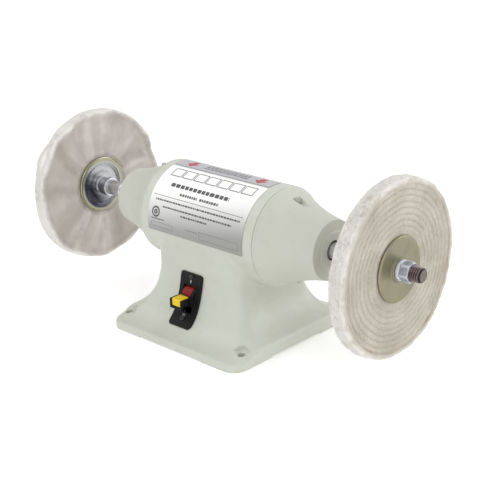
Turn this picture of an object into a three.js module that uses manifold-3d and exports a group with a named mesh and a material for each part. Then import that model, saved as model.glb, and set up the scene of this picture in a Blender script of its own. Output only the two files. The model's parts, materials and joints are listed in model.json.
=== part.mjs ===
// A two-wheel bench grinder fitted with ten-inch cotton buffing wheels.
// Millimetres, +Z up. The origin lies under the middle of the base, on the bench.
// The spindle runs along X, +X is the right-hand wheel, and -Y is the front, where the switch is.

import * as THREE from "three";
import { mergeVertices } from "three/addons/utils/BufferGeometryUtils.js";
import Module from "manifold-3d";

const wasm = await Module();
wasm.setup();

// ---- Driving dimensions ----

const GAP = 0.3; // clearance between pieces that touch
const FACETS = 36; // sides of a large round piece
const MEDIUM_FACETS = 24; // sides of a ring on the spindle
const BEARING_FACETS = 18; // sides of a bearing ring
const SMALL_FACETS = 16; // sides of a small round piece
const AXIS_HEIGHT = 167; // spindle above the bench

// Motor shell and end bells
const SHELL_RADIUS = 75.2;
const SHELL_BORE = 66.3;
const SHELL_HALF_LENGTH = 115;
const BELL_FACE = 203; // outer face of a bell from the middle of the machine
const BELL_SHOULDER = 118;
const BELL_FACE_RADIUS = 44.5;
const BELL_HOLE = 15;
const SPIGOT_LENGTH = 6;

// Through bolts that clamp the bells to the shell
const BOLT_ORBIT = 60.5;
const BOLT_RADIUS = 3;
const BOLT_SEAT = 135;
const POCKET_RADIUS = 7;

// Pedestal and foot
const BASE_HALF_WIDTH = 134.8;
const BASE_HALF_DEPTH = 134.4;
const BASE_CORNER = 24; // rounding of the foot's corners
const WAIST_CORNER = 13; // and of the pedestal's upright edges
const WAIST_HEIGHT = 97;
const WAIST_HALF_WIDTH = 86.6;
const WAIST_HALF_DEPTH = 69.6;
const SIDE_RIM = 22; // height of the foot's edge on its sides
const FRONT_RIM = 11.5; // and on its front and back
const PEDESTAL_WALL = 6;
const FOOT_HOLE_X = 120;
const FOOT_HOLE_Y = 105;
const FOOT_HOLE_RADIUS = 5.5;
const SPOT_FACE_RADIUS = 13;
const SPOT_FACE_HEIGHT = 20;
const PAD_RELIEF = 3;
const MOUTH_HALF_WIDTH = 96;
const MOUTH_HALF_DEPTH = 84;
const MOUTH_DEPTH = 6;
const GLAND_X = 40;
const GLAND_Z = 62;

// Spindle
const ROTOR_SEAT_RADIUS = 14;
const JOURNAL_RADIUS = 12.5;
const THREAD_RADIUS = 11.1;
const ARBOR_HOLE = THREAD_RADIUS + GAP;
const THREAD_START = 294.8;
const COLLAR_START = 270; // the shoulder ring that the inner flange bears on
const COLLAR_RADIUS = 15.6;
const SPINDLE_END = 355;

// Wheels and their flanges
const WHEEL_CENTRE = 306;
const WHEEL_RADIUS = 127;
const HUB_HALF_THICKNESS = 7.6;
const RIM_HALF_THICKNESS = 12.5;
const FLANGE_RADIUS = 47.2;
const FLANGE_DISH_RADIUS = 34.5;
const FLANGE_BOSS_RADIUS = 17.2;
const WASHER_START = 319.3;
const WASHER_THICKNESS = 4.6;
const WASHER_RADIUS = 14.8;
const NUT_ACROSS_FLATS = 26.4;
const NUT_THICKNESS = 14;

// Motor
const STACK_HALF_LENGTH = 45;
const STATOR_BORE = 41.2;
const SLOT_COUNT = 24;
const SLOT_DEPTH_RADIUS = 57;
const SLOT_WIDTH = 5;
const ROTOR_RADIUS = 40.6;
const END_RING_LENGTH = 11;
const FAN_BLADES = 8;

// Ball bearings, 25 x 52 x 15
const BEARING_OUTSIDE = 26;
const BEARING_WIDTH = 15;
const BEARING_CENTRE = 188.5;
const BALL_PITCH = 19.4;
const BALL_RADIUS = 3.9;
const BALL_COUNT = 9;

// Switch on the front of the pedestal
const SWITCH_X = -10.7;
const SWITCH_WIDTH = 46;
const SWITCH_BOTTOM = 23;
const SWITCH_TOP = 101;
const PLATE_THICKNESS = 2.6;
const ROCKER_RADIUS = 19;
const ROCKER_PIVOT_Y = -67;
const ROCKER_PIVOT_Z = 61;
const ROCKER_HALF_WIDTH = 12;
const LEVER_FRONT = -107;
const LEVER_HALF_WIDTH = 11;
const PADDLE_LEFT = -14; // edges of the wide end of the lever from the middle of the switch
const PADDLE_BACK = -90;
const KEY_LEFT = -9.3;
const KEY_RIGHT = 8.2;

const FLARE_SIDE = new THREE.CubicBezierCurve(
  new THREE.Vector2(BASE_HALF_WIDTH - 1.3, SIDE_RIM),
  new THREE.Vector2(105, 40),
  new THREE.Vector2(91, 58),
  new THREE.Vector2(WAIST_HALF_WIDTH, WAIST_HEIGHT),
);
const FLARE_FRONT = new THREE.CubicBezierCurve(
  new THREE.Vector2(BASE_HALF_DEPTH - 1.4, FRONT_RIM),
  new THREE.Vector2(95, 22),
  new THREE.Vector2(80, 38),
  new THREE.Vector2(WAIST_HALF_DEPTH, WAIST_HEIGHT),
);

// ---- Materials ----

function finish(color, roughness, metalness) {
  return new THREE.MeshStandardMaterial({ color, roughness, metalness });
}

const bodyPaint = finish(0xc5c8bc, 0.45, 0.1);
const brightSteel = finish(0xb7bac4, 0.25, 1);
const darkSteel = finish(0x6c5f5e, 0.45, 0.9);
const platedSteel = finish(0x9a9277, 0.35, 0.9);
const zincSteel = finish(0xb2b7be, 0.3, 0.95);
const cotton = finish(0xc4bdb0, 0.95, 0);
const laminations = finish(0x5b5d60, 0.55, 0.8);
const copper = finish(0x9b4f28, 0.4, 0.8);
const castAluminium = finish(0xa9abad, 0.5, 0.8);
const blackPlastic = finish(0x1d1a1d, 0.5, 0);
const yellowPlastic = finish(0xe0c33c, 0.4, 0);
const whitePlastic = finish(0xdad8d0, 0.5, 0);
const rubber = finish(0x242424, 0.85, 0);
const labelFoil = finish(0xdcdcda, 0.35, 0.3);

// ---- Geometry helpers ----

// A solid from a three.js geometry.
// Triangles that collapse on an axis are dropped, and faces point out.
function solid(geometry) {
  const bare = new THREE.BufferGeometry();
  bare.setAttribute("position", geometry.getAttribute("position"));
  bare.setIndex(geometry.index);
  const merged = mergeVertices(bare, 1e-3);
  const corners = [];
  for (let i = 0; i < merged.index.count; i += 3) {
    const [a, b, c] = [0, 1, 2].map((step) => merged.index.getX(i + step));
    if (a !== b && b !== c && c !== a) corners.push([a, b, c]);
  }
  const build = (triangles) =>
    new wasm.Manifold(
      new wasm.Mesh({
        numProp: 3,
        vertProperties: merged.attributes.position.array,
        triVerts: new Uint32Array(triangles.flat()),
      }),
    );
  const made = build(corners);
  return made.volume() > 0 ? made : build(corners.map(([a, b, c]) => [a, c, b]));
}

function united(solids) {
  return solids.reduce((whole, piece) => whole.add(piece));
}

function cut(body, tools) {
  return tools.reduce((left, tool) => left.subtract(tool), body);
}

// A round piece about the X axis at spindle height, from [x, radius] points.
// A hollow profile closes on itself.
function turned(profile, facets = FACETS) {
  const points = profile.map(([x, radius]) => new THREE.Vector2(radius, x));
  const geometry = new THREE.LatheGeometry(points, facets);
  geometry.rotateZ(-Math.PI / 2);
  geometry.translate(0, 0, AXIS_HEIGHT);
  return solid(geometry);
}

function rod(x0, x1, radius, facets = FACETS) {
  return turned([[x0, 0], [x0, radius], [x1, radius], [x1, 0]], facets);
}

function ring(x0, x1, inner, outer, facets = FACETS) {
  return turned([[x0, inner], [x0, outer], [x1, outer], [x1, inner], [x0, inner]], facets);
}

function block(x0, x1, y0, y1, z0, z1) {
  const geometry = new THREE.BoxGeometry(x1 - x0, y1 - y0, z1 - z0);
  geometry.translate((x0 + x1) / 2, (y0 + y1) / 2, (z0 + z1) / 2);
  return solid(geometry);
}

// A round bar between two points, along any direction.
function bar(from, to, radius, facets = SMALL_FACETS) {
  const start = new THREE.Vector3(...from);
  const direction = new THREE.Vector3(...to).sub(start);
  const geometry = new THREE.CylinderGeometry(radius, radius, direction.length(), facets);
  geometry.translate(0, direction.length() / 2, 0);
  const turn = new THREE.Quaternion().setFromUnitVectors(
    new THREE.Vector3(0, 1, 0),
    direction.normalize(),
  );
  geometry.applyQuaternion(turn);
  geometry.translate(start.x, start.y, start.z);
  return solid(geometry);
}

// Turns a geometry about the spindle; the angle runs from straight up towards the front.
function aroundSpindle(geometry, angle) {
  geometry.rotateX(angle);
  geometry.translate(0, 0, AXIS_HEIGHT);
  return solid(geometry);
}

// A curved strip on the shell, drawn out along X. Its angles run from straight up towards the front.
function shellStrip(x0, x1, angle0, angle1, inner, outer) {
  const shape = new THREE.Shape();
  shape.absarc(0, 0, outer, Math.PI / 2 - angle1, Math.PI / 2 - angle0, false);
  shape.absarc(0, 0, inner, Math.PI / 2 - angle0, Math.PI / 2 - angle1, true);
  shape.closePath();
  const geometry = new THREE.ExtrudeGeometry(shape, {
    depth: x1 - x0,
    bevelEnabled: false,
    curveSegments: 10,
  });
  const front = new THREE.Vector3(0, -1, 0);
  const up = new THREE.Vector3(0, 0, 1);
  const left = new THREE.Vector3(-1, 0, 0);
  geometry.applyMatrix4(new THREE.Matrix4().makeBasis(front, up, left));
  geometry.translate(x1, 0, AXIS_HEIGHT);
  return solid(geometry);
}

// The points of a rectangle with round corners, centred on the origin.
function roundedRectangle(halfWidth, halfDepth, radius, steps = 3) {
  const corners = [[1, 1], [-1, 1], [-1, -1], [1, -1]];
  return corners.flatMap(([sideX, sideY], quarter) =>
    Array.from({ length: steps + 1 }, (unused, step) => {
      const angle = (quarter + step / steps) * (Math.PI / 2);
      return new THREE.Vector2(
        sideX * (halfWidth - radius) + radius * Math.cos(angle),
        sideY * (halfDepth - radius) + radius * Math.sin(angle),
      );
    }),
  );
}

// A closed solid through a stack of outlines that all have the same number of points.
function lofted(levels) {
  const count = levels[0].outline.length;
  const last = (levels.length - 1) * count;
  const positions = levels.flatMap(({ outline, z }) =>
    outline.flatMap((point) => [point.x, point.y, z]),
  );
  const index = [];
  for (let level = 0; level < last; level += count) {
    for (let i = 0; i < count; i += 1) {
      const a = level + i;
      const b = level + ((i + 1) % count);
      index.push(a, b, b + count, a, b + count, a + count);
    }
  }
  for (let i = 1; i < count - 1; i += 1) {
    index.push(0, i + 1, i);
    index.push(last, last + i, last + i + 1);
  }
  const geometry = new THREE.BufferGeometry();
  geometry.setAttribute("position", new THREE.Float32BufferAttribute(positions, 3));
  geometry.setIndex(index);
  return solid(geometry);
}

// ---- Pedestal outline ----

// How far a flare reaches out at a height; its curve falls steadily from the waist to the rim.
function reachAt(flare, height) {
  let [low, high] = [0, 1];
  for (let pass = 0; pass < 30; pass += 1) {
    const middle = (low + high) / 2;
    if (flare.getPoint(middle).y < height) low = middle;
    else high = middle;
  }
  return flare.getPoint(low).x;
}

function pedestalHalfWidth(z) {
  if (z < SIDE_RIM) return BASE_HALF_WIDTH;
  if (z <= WAIST_HEIGHT) return reachAt(FLARE_SIDE, z);
  const rise = Math.max(0, (z - 122) / 28);
  return WAIST_HALF_WIDTH - 22 * rise * rise;
}

function pedestalHalfDepth(z) {
  if (z < FRONT_RIM) return BASE_HALF_DEPTH;
  return z <= WAIST_HEIGHT ? reachAt(FLARE_FRONT, z) : WAIST_HALF_DEPTH;
}

function pedestalCorner(z) {
  const rise = THREE.MathUtils.clamp((z - SIDE_RIM) / (WAIST_HEIGHT - SIDE_RIM), 0, 1);
  return THREE.MathUtils.lerp(BASE_CORNER, WAIST_CORNER, rise);
}

// The pedestal's outside, grown by an offset, between two heights.
function pedestal(offset, bottom, top) {
  const between = [FRONT_RIM, 15, SIDE_RIM, 30, 40, 54, 72, WAIST_HEIGHT, 122, 138];
  const heights = [bottom, ...between.filter((z) => z > bottom && z < top), top];
  return lofted(
    heights.map((z) => ({
      z,
      outline: roundedRectangle(
        pedestalHalfWidth(z) + offset,
        pedestalHalfDepth(z) + offset,
        pedestalCorner(z),
      ),
    })),
  );
}

// ---- Castings ----

function pedestalCavity() {
  const heights = [MOUTH_DEPTH - 0.1, 40, 54, 72, WAIST_HEIGHT, 130];
  const hollow = lofted(
    heights.map((z) => ({
      z,
      outline: roundedRectangle(
        Math.min(pedestalHalfWidth(z) - PEDESTAL_WALL, MOUTH_HALF_WIDTH - 12),
        Math.min(pedestalHalfDepth(z) - PEDESTAL_WALL, MOUTH_HALF_DEPTH - 12),
        BASE_CORNER - PEDESTAL_WALL,
      ),
    })),
  );
  const mouth = lofted(
    [-1, MOUTH_DEPTH].map((z) => ({
      z,
      outline: roundedRectangle(MOUTH_HALF_WIDTH, MOUTH_HALF_DEPTH, BASE_CORNER),
    })),
  );
  return united([cut(hollow, [rod(-200, 200, SHELL_RADIUS)]), mouth]);
}

const quadrants = [[1, 1], [-1, 1], [-1, -1], [1, -1]];

function motorHousing() {
  const casting = united([
    pedestal(0, 0, 150),
    rod(-SHELL_HALF_LENGTH, SHELL_HALF_LENGTH, SHELL_RADIUS),
  ]);
  const footCuts = quadrants.flatMap(([sideX, sideY]) => {
    const [x, y] = [sideX * FOOT_HOLE_X, sideY * FOOT_HOLE_Y];
    return [
      bar([x, y, -1], [x, y, SPOT_FACE_HEIGHT + 1], FOOT_HOLE_RADIUS, 12),
      bar([x, y, SPOT_FACE_HEIGHT], [x, y, SPOT_FACE_HEIGHT + 60], SPOT_FACE_RADIUS, MEDIUM_FACETS),
    ];
  });
  return cut(casting, [
    rod(-200, 200, SHELL_BORE),
    pedestalCavity(),
    ...footCuts,
    block(-67, 67, -200, 200, -1, PAD_RELIEF),
    block(-200, 200, -56, 56, -1, PAD_RELIEF),
    block(SWITCH_X - 18, SWITCH_X + 18, -100, -50, 33, 91), // switch window
    bar([55, 0, 80], [55, 0, 110], 9), // way for the motor leads
    bar([GLAND_X, 60, GLAND_Z], [GLAND_X, 95, GLAND_Z], 9.3), // cord entry at the back
    ...coverScrewPlaces().map(([x, y]) => bar([x, y, 0], [x, y, 14], 2.4, 12)),
    ...plateScrewAxes().map((along) => bar(along(-16), along(6), 2.3, 12)),
  ]);
}

// A bell is a trumpet of revolution: a spigot in the shell, a curved outside, and a seat for the bearing.
function endBell(side) {
  const outside = new THREE.QuadraticBezierCurve(
    new THREE.Vector2(BELL_SHOULDER, 73.2),
    new THREE.Vector2(155, 52),
    new THREE.Vector2(BELL_FACE, BELL_FACE_RADIUS),
  ).getPoints(5);
  const spigotEnd = SHELL_HALF_LENGTH - SPIGOT_LENGTH;
  const full = [
    [spigotEnd, 0],
    [spigotEnd, SHELL_BORE - GAP],
    [SHELL_HALF_LENGTH + GAP, SHELL_BORE - GAP],
    [SHELL_HALF_LENGTH + GAP, 74.5],
    ...outside.map((point) => [point.x, point.y]),
    [BELL_FACE, 28],
    [BELL_FACE + 1.5, 27],
    [BELL_FACE + 1.5, 0],
  ];
  const hollow = [
    [179, 0],
    [179, 40],
    [160, 44],
    [BOLT_SEAT - 2, BOLT_ORBIT - POCKET_RADIUS - 4],
    [BELL_SHOULDER, 61],
    [spigotEnd - 1, 61],
    [spigotEnd - 1, 0],
  ];
  const sided = (profile) => turned(profile.map(([x, radius]) => [side * x, radius]));
  const bolts = [1, -1].map((up) => AXIS_HEIGHT + up * BOLT_ORBIT);
  const along = (from, to, radius, facets) =>
    bolts.map((z) => bar([side * from, 0, z], [side * to, 0, z], radius, facets));
  const pockets = along(BOLT_SEAT, 175, POCKET_RADIUS, 10);
  const clearances = along(90, 140, BOLT_RADIUS + 0.5, 8);
  return cut(sided(full), [
    sided(hollow),
    rod(side * 178, side * (BEARING_CENTRE + BEARING_WIDTH / 2 + 1), BEARING_OUTSIDE + GAP),
    rod(side * 170, side * 210, BELL_HOLE),
    ...pockets,
    ...clearances,
  ]);
}

function throughBolt(up) {
  const z = AXIS_HEIGHT + up * BOLT_ORBIT;
  return united([
    bar([-BOLT_SEAT - 6.5, 0, z], [BOLT_SEAT + 1, 0, z], BOLT_RADIUS, 8),
    bar([BOLT_SEAT + GAP, 0, z], [BOLT_SEAT + 6, 0, z], 5.2, 12),
  ]);
}

function throughBoltNut(up) {
  const z = AXIS_HEIGHT + up * BOLT_ORBIT;
  const hexagon = bar([-BOLT_SEAT - 5.3, 0, z], [-BOLT_SEAT - GAP, 0, z], 5.7, 6);
  return cut(hexagon, [bar([-BOLT_SEAT - 8, 0, z], [-BOLT_SEAT + 2, 0, z], BOLT_RADIUS + GAP, 12)]);
}

// ---- Bearings and seals ----

function bearingRace(side, face, shoulder, groove) {
  const half = BEARING_WIDTH / 2;
  const profile = [
    [-half, face],
    [half, face],
    [half, shoulder],
    [3.4, shoulder],
    [1.5, groove],
    [-1.5, groove],
    [-3.4, shoulder],
    [-half, shoulder],
    [-half, face],
  ];
  return turned(profile.map(([x, radius]) => [side * BEARING_CENTRE + x, radius]), BEARING_FACETS);
}

function bearingCage(side) {
  const centre = side * BEARING_CENTRE;
  const balls = Array.from({ length: BALL_COUNT }, (unused, i) => {
    const ball = new THREE.SphereGeometry(BALL_RADIUS, 6, 4);
    ball.translate(centre, 0, BALL_PITCH);
    return aroundSpindle(ball, (i / BALL_COUNT) * 2 * Math.PI);
  });
  const cage = ring(centre - 1.6, centre + 1.6, BALL_PITCH - 1, BALL_PITCH + 1, BEARING_FACETS);
  return united([cage, ...balls]);
}

function shaftSeal(side) {
  const [inner, outer] = [side * (BELL_FACE - 4), side * (BELL_FACE + 1)];
  return ring(inner, outer, JOURNAL_RADIUS + 0.4, BELL_HOLE - GAP, MEDIUM_FACETS);
}

function waveWasher() {
  const start = -(BEARING_CENTRE + BEARING_WIDTH / 2 + 0.2);
  return ring(start, start - 0.6, 20, BEARING_OUTSIDE - 0.5, BEARING_FACETS);
}

// ---- Motor ----

function statorCore() {
  const slots = Array.from({ length: SLOT_COUNT }, (unused, i) => {
    const [mouth, bottom] = [STATOR_BORE - 4, SLOT_DEPTH_RADIUS];
    const slot = new THREE.BoxGeometry(2 * STACK_HALF_LENGTH + 2, SLOT_WIDTH, bottom - mouth);
    slot.translate(0, 0, (bottom + mouth) / 2);
    return aroundSpindle(slot, ((i + 0.5) / SLOT_COUNT) * 2 * Math.PI);
  });
  const boltHoles = [1, -1].map((up) => {
    const z = AXIS_HEIGHT + up * BOLT_ORBIT;
    return bar([-60, 0, z], [60, 0, z], BOLT_RADIUS + 0.5, 8);
  });
  const stack = ring(-STACK_HALF_LENGTH, STACK_HALF_LENGTH, STATOR_BORE, SHELL_BORE - GAP);
  return cut(stack, [...slots, ...boltHoles]);
}

// Coil sides in the slots, joined at each end by a round bundle of end turns.
function statorWinding() {
  const start = STACK_HALF_LENGTH + 1;
  const endTurns = [1, -1].map((side) => {
    const section = [[0, 43.5], [14, 43.5], [17, 47], [17, 53], [13, 56.5], [0, 56.5], [0, 43.5]];
    return turned(section.map(([x, radius]) => [side * (start + x), radius]), MEDIUM_FACETS);
  });
  const coilSides = Array.from({ length: SLOT_COUNT }, (unused, i) => {
    const side = new THREE.BoxGeometry(2 * start + 4, SLOT_WIDTH - 0.8, 10);
    side.translate(0, 0, 50.5);
    return aroundSpindle(side, ((i + 0.5) / SLOT_COUNT) * 2 * Math.PI);
  });
  return united([...endTurns, ...coilSides]);
}

function rotorCore() {
  const bore = ROTOR_SEAT_RADIUS + GAP;
  return ring(-STACK_HALF_LENGTH, STACK_HALF_LENGTH, bore, ROTOR_RADIUS, MEDIUM_FACETS);
}

function rotorEndRing(side) {
  const start = STACK_HALF_LENGTH + GAP;
  const blades = Array.from({ length: FAN_BLADES }, (unused, i) => {
    const blade = new THREE.BoxGeometry(10, 2.4, 9);
    blade.translate(side * (start + END_RING_LENGTH + 4), 0, 33);
    return aroundSpindle(blade, (i / FAN_BLADES) * 2 * Math.PI);
  });
  return united([ring(side * start, side * (start + END_RING_LENGTH), 26, 39, MEDIUM_FACETS), ...blades]);
}

function governorHub() {
  return ring(-92, -78, JOURNAL_RADIUS + GAP, 19, MEDIUM_FACETS);
}

function governorCollar() {
  const profile = [[-106, 13], [-106, 25], [-103, 25], [-98, 18], [-98, 13], [-106, 13]];
  return turned(profile, MEDIUM_FACETS);
}

// The fixed contact plate that the governor's collar works against.
function centrifugalSwitch() {
  const plate = ring(-111.5, -109.5, 28, 49, MEDIUM_FACETS);
  const open = block(-120, -100, -70, 70, AXIS_HEIGHT - 70, AXIS_HEIGHT - 4);
  const contact = block(-109.6, -105, -5, 5, AXIS_HEIGHT + 30, AXIS_HEIGHT + 40);
  return united([cut(plate, [open]), contact]);
}

// ---- Spindle, flanges and wheels ----

function spindle() {
  const half = [
    [0, ROTOR_SEAT_RADIUS],
    [62, ROTOR_SEAT_RADIUS],
    [62, JOURNAL_RADIUS],
    [THREAD_START, JOURNAL_RADIUS],
    [THREAD_START, THREAD_RADIUS],
    [SPINDLE_END - 1.5, THREAD_RADIUS],
    [SPINDLE_END, THREAD_RADIUS - 1.5],
    [SPINDLE_END, 0],
  ];
  const mirrored = half.slice(1).map(([x, radius]) => [-x, radius]).reverse();
  return turned([...mirrored, ...half.slice(1)], MEDIUM_FACETS);
}

function spindleCollar(side) {
  const [start, end] = [side * COLLAR_START, side * (THREAD_START - 0.2)];
  return ring(start, end, JOURNAL_RADIUS + GAP, COLLAR_RADIUS, MEDIUM_FACETS);
}

// The dished disc between the spindle's shoulder and the wheel.
function innerFlange(side) {
  const contact = WHEEL_CENTRE - HUB_HALF_THICKNESS - GAP;
  const profile = [
    [contact, 38],
    [contact, FLANGE_RADIUS - 0.4],
    [contact - 2.5, FLANGE_RADIUS],
    [contact - 5, FLANGE_RADIUS - 2.5],
    [contact - 5.2, FLANGE_DISH_RADIUS + 1.2],
    [contact - 3.2, FLANGE_DISH_RADIUS - 1.5],
    [contact - 3.2, ARBOR_HOLE],
    [contact - 0.8, ARBOR_HOLE],
    [contact - 0.8, 36.5],
    [contact, 38],
  ];
  return turned(profile.map(([x, radius]) => [side * x, radius]), MEDIUM_FACETS);
}

// The dished disc that the nut presses on the wheel, with a low boss under the washer.
function outerFlange(side) {
  const contact = WHEEL_CENTRE + HUB_HALF_THICKNESS + GAP;
  const profile = [
    [contact, 38],
    [contact, FLANGE_RADIUS - 0.4],
    [contact + 2.5, FLANGE_RADIUS],
    [contact + 4.6, FLANGE_RADIUS - 3],
    [contact + 3.6, FLANGE_DISH_RADIUS],
    [contact + 2.4, FLANGE_BOSS_RADIUS + 5],
    [contact + 2.4, FLANGE_BOSS_RADIUS + 0.6],
    [WASHER_START - GAP, FLANGE_BOSS_RADIUS],
    [WASHER_START - GAP, ARBOR_HOLE],
    [contact + 0.8, ARBOR_HOLE],
    [contact + 0.8, 36],
    [contact, 38],
  ];
  return turned(profile.map(([x, radius]) => [side * x, radius]), MEDIUM_FACETS);
}

function spindleWasher(side) {
  const [start, end] = [side * WASHER_START, side * (WASHER_START + WASHER_THICKNESS)];
  return ring(start, end, ARBOR_HOLE, WASHER_RADIUS, MEDIUM_FACETS);
}

function spindleNut(side) {
  const start = WASHER_START + WASHER_THICKNESS + GAP;
  const corner = NUT_ACROSS_FLATS / 2 / Math.cos(Math.PI / 6);
  const profile = [
    [start, 0],
    [start, corner - 1.2],
    [start + 1, corner],
    [start + NUT_THICKNESS - 1, corner],
    [start + NUT_THICKNESS, corner - 1.2],
    [start + NUT_THICKNESS, 0],
  ];
  const hexagon = turned(profile.map(([x, radius]) => [side * x, radius]), 6);
  const [near, far] = [side * (start - 2), side * (start + NUT_THICKNESS + 2)];
  return cut(hexagon, [rod(near, far, ARBOR_HOLE, MEDIUM_FACETS)]);
}

// Stitched cotton discs: pressed thin at the hub, loose and full beyond the last row of stitches.
function buffingWheel(side) {
  const half = [
    [HUB_HALF_THICKNESS, ARBOR_HOLE],
    [HUB_HALF_THICKNESS, FLANGE_RADIUS + 2],
    [HUB_HALF_THICKNESS + 1, 108],
    [RIM_HALF_THICKNESS, 119],
    [RIM_HALF_THICKNESS - 6, WHEEL_RADIUS],
  ];
  const otherHalf = half.map(([x, radius]) => [-x, radius]).reverse();
  const profile = [...half, ...otherHalf, half[0]];
  return turned(profile.map(([x, radius]) => [side * (WHEEL_CENTRE + x), radius]));
}

// ---- Base cover and wiring ----

function coverScrewPlaces() {
  return quadrants.map(([sideX, sideY]) => [sideX * (MOUTH_HALF_WIDTH - 7), sideY * 50]);
}

function baseCover() {
  const levels = [MOUTH_DEPTH - 1.8, MOUTH_DEPTH - GAP];
  const plate = lofted(
    levels.map((z) => ({
      z,
      outline: roundedRectangle(MOUTH_HALF_WIDTH - 0.8, MOUTH_HALF_DEPTH - 0.8, BASE_CORNER - 0.8),
    })),
  );
  return cut(plate, coverScrewPlaces().map(([x, y]) => bar([x, y, 0], [x, y, 10], 2.6, 12)));
}

function coverScrew([x, y]) {
  const head = MOUTH_DEPTH - 1.8 - GAP;
  return united([
    bar([x, y, head - 2.4], [x, y, head], 4.2, 16),
    bar([x, y, head - 0.5], [x, y, 12.5], 2, 12),
  ]);
}

const CAPACITOR_Y = 40;
const CAPACITOR_Z = 33;
const CAPACITOR_RADIUS = 18;

function startCapacitor() {
  const can = bar([-55, CAPACITOR_Y, CAPACITOR_Z], [35, CAPACITOR_Y, CAPACITOR_Z], CAPACITOR_RADIUS);
  const tabs = [-6, 6].map((offset) =>
    block(34, 42, CAPACITOR_Y + offset - 0.6, CAPACITOR_Y + offset + 0.6, 30, 36),
  );
  return united([can, ...tabs]);
}

// A saddle that holds the capacitor down on the base cover.
function capacitorClamp() {
  const outer = CAPACITOR_RADIUS + 2;
  const saddle = united([
    bar([-20, CAPACITOR_Y, CAPACITOR_Z], [-5, CAPACITOR_Y, CAPACITOR_Z], outer),
    block(-20, -5, CAPACITOR_Y - outer, CAPACITOR_Y + outer, MOUTH_DEPTH, CAPACITOR_Z),
    block(-20, -5, CAPACITOR_Y - outer - 9, CAPACITOR_Y + outer + 9, MOUTH_DEPTH, MOUTH_DEPTH + 2),
  ]);
  const inner = CAPACITOR_RADIUS + GAP;
  return cut(saddle, [
    bar([-30, CAPACITOR_Y, CAPACITOR_Z], [5, CAPACITOR_Y, CAPACITOR_Z], inner),
    block(-30, 5, CAPACITOR_Y - inner, CAPACITOR_Y + inner, MOUTH_DEPTH - 1, CAPACITOR_Z),
  ]);
}

function terminalBlock() {
  const body = block(-70, -34, -30, -12, MOUTH_DEPTH, 20);
  const wells = [-65, -56.5, -48, -39.5].map((x) => bar([x, -21, 12], [x, -21, 22], 2.8, 10));
  return cut(body, wells);
}

function cordGland() {
  return cut(
    united([
      bar([GLAND_X, 66, GLAND_Z], [GLAND_X, 86, GLAND_Z], 8.9),
      bar([GLAND_X, 83.5, GLAND_Z], [GLAND_X, 89, GLAND_Z], 13, 6),
      bar([GLAND_X, 88, GLAND_Z], [GLAND_X, 97, GLAND_Z], 10.5),
    ]),
    [bar([GLAND_X, 60, GLAND_Z], [GLAND_X, 99, GLAND_Z], 4.2)],
  );
}

// ---- Switch ----

// The two plate screws stand square to the casting.
// Each entry is a function that gives the point on the screw's axis at a distance out of the surface.
function plateScrewAxes() {
  return [33, 94].map((z) => {
    const slope = (pedestalHalfDepth(z + 2) - pedestalHalfDepth(z - 2)) / 4;
    const out = new THREE.Vector3(0, -1, -slope).normalize();
    const foot = new THREE.Vector3(SWITCH_X, -pedestalHalfDepth(z), z);
    return (distance) => foot.clone().addScaledVector(out, distance).toArray();
  });
}

// A plate with rounded corners that lies on the hollow curve of the pedestal's front.
function switchPlate() {
  const outline = new THREE.Shape(
    roundedRectangle(SWITCH_WIDTH / 2, (SWITCH_TOP - SWITCH_BOTTOM) / 2, 5, 3),
  );
  const stamp = new THREE.ExtrudeGeometry(outline, { depth: 90, bevelEnabled: false });
  stamp.rotateX(Math.PI / 2);
  stamp.translate(SWITCH_X, -40, (SWITCH_TOP + SWITCH_BOTTOM) / 2);
  const outside = pedestal(GAP + PLATE_THICKNESS, 8, 120);
  const plate = cut(solid(stamp).intersect(outside), [pedestal(GAP, 2, 130)]);
  return cut(plate, [
    block(SWITCH_X - 13, SWITCH_X + 13, -120, -60, 42, 81),
    ...plateScrewAxes().map((along) => bar(along(-8), along(8), 2.4, 12)),
  ]);
}

function switchPlateScrew(along) {
  const face = PLATE_THICKNESS + 4 * GAP;
  return united([bar(along(face), along(face + 1.8), 3.8), bar(along(-12), along(face + 1), 1.9, 12)]);
}

function switchBody() {
  const box = block(SWITCH_X - 17, SWITCH_X + 17, -70, -34, 34, 90);
  const pocket = block(SWITCH_X - 12.6, SWITCH_X + 12.6, -80, -46, 40, 84);
  const pivot = bar(
    [SWITCH_X - 15.6, ROCKER_PIVOT_Y, ROCKER_PIVOT_Z],
    [SWITCH_X + 15.6, ROCKER_PIVOT_Y, ROCKER_PIVOT_Z],
    2.4,
    16,
  );
  return cut(box, [pocket, pivot]);
}

// The rocker with its lever: an open tray that the safety key slides into.
function switchLever() {
  const [x, y, z] = [SWITCH_X, ROCKER_PIVOT_Y, ROCKER_PIVOT_Z];
  const [x0, x1] = [x - ROCKER_HALF_WIDTH, x + ROCKER_HALF_WIDTH];
  const drum = bar([x0, y, z], [x1, y, z], ROCKER_RADIUS - 0.6, MEDIUM_FACETS);
  const front = block(x - 14, x + 14, y - 30, y + 3, z - 30, z + 30);
  const pivot = bar([x - 15, y, z], [x + 15, y, z], 2, 16);
  const arm = block(x - LEVER_HALF_WIDTH, x + LEVER_HALF_WIDTH, LEVER_FRONT, y - 10, z - 6, z + 7.5);
  const paddle = block(x + PADDLE_LEFT, x + LEVER_HALF_WIDTH, LEVER_FRONT, PADDLE_BACK, z - 8, z + 7.5);
  const keyway = block(x + KEY_LEFT - 0.4, x + KEY_RIGHT + 0.4, LEVER_FRONT - 1, y - 21, z - 3.4, z + 8);
  return cut(united([drum.intersect(front), pivot, arm, paddle]), [keyway]);
}

function safetyKey() {
  const [x, y, z] = [SWITCH_X, ROCKER_PIVOT_Y, ROCKER_PIVOT_Z];
  return block(x + KEY_LEFT, x + KEY_RIGHT, LEVER_FRONT + 0.5, y - 21.4, z - 3, z + 8.4);
}

// ---- Plates on the shell ----

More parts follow.
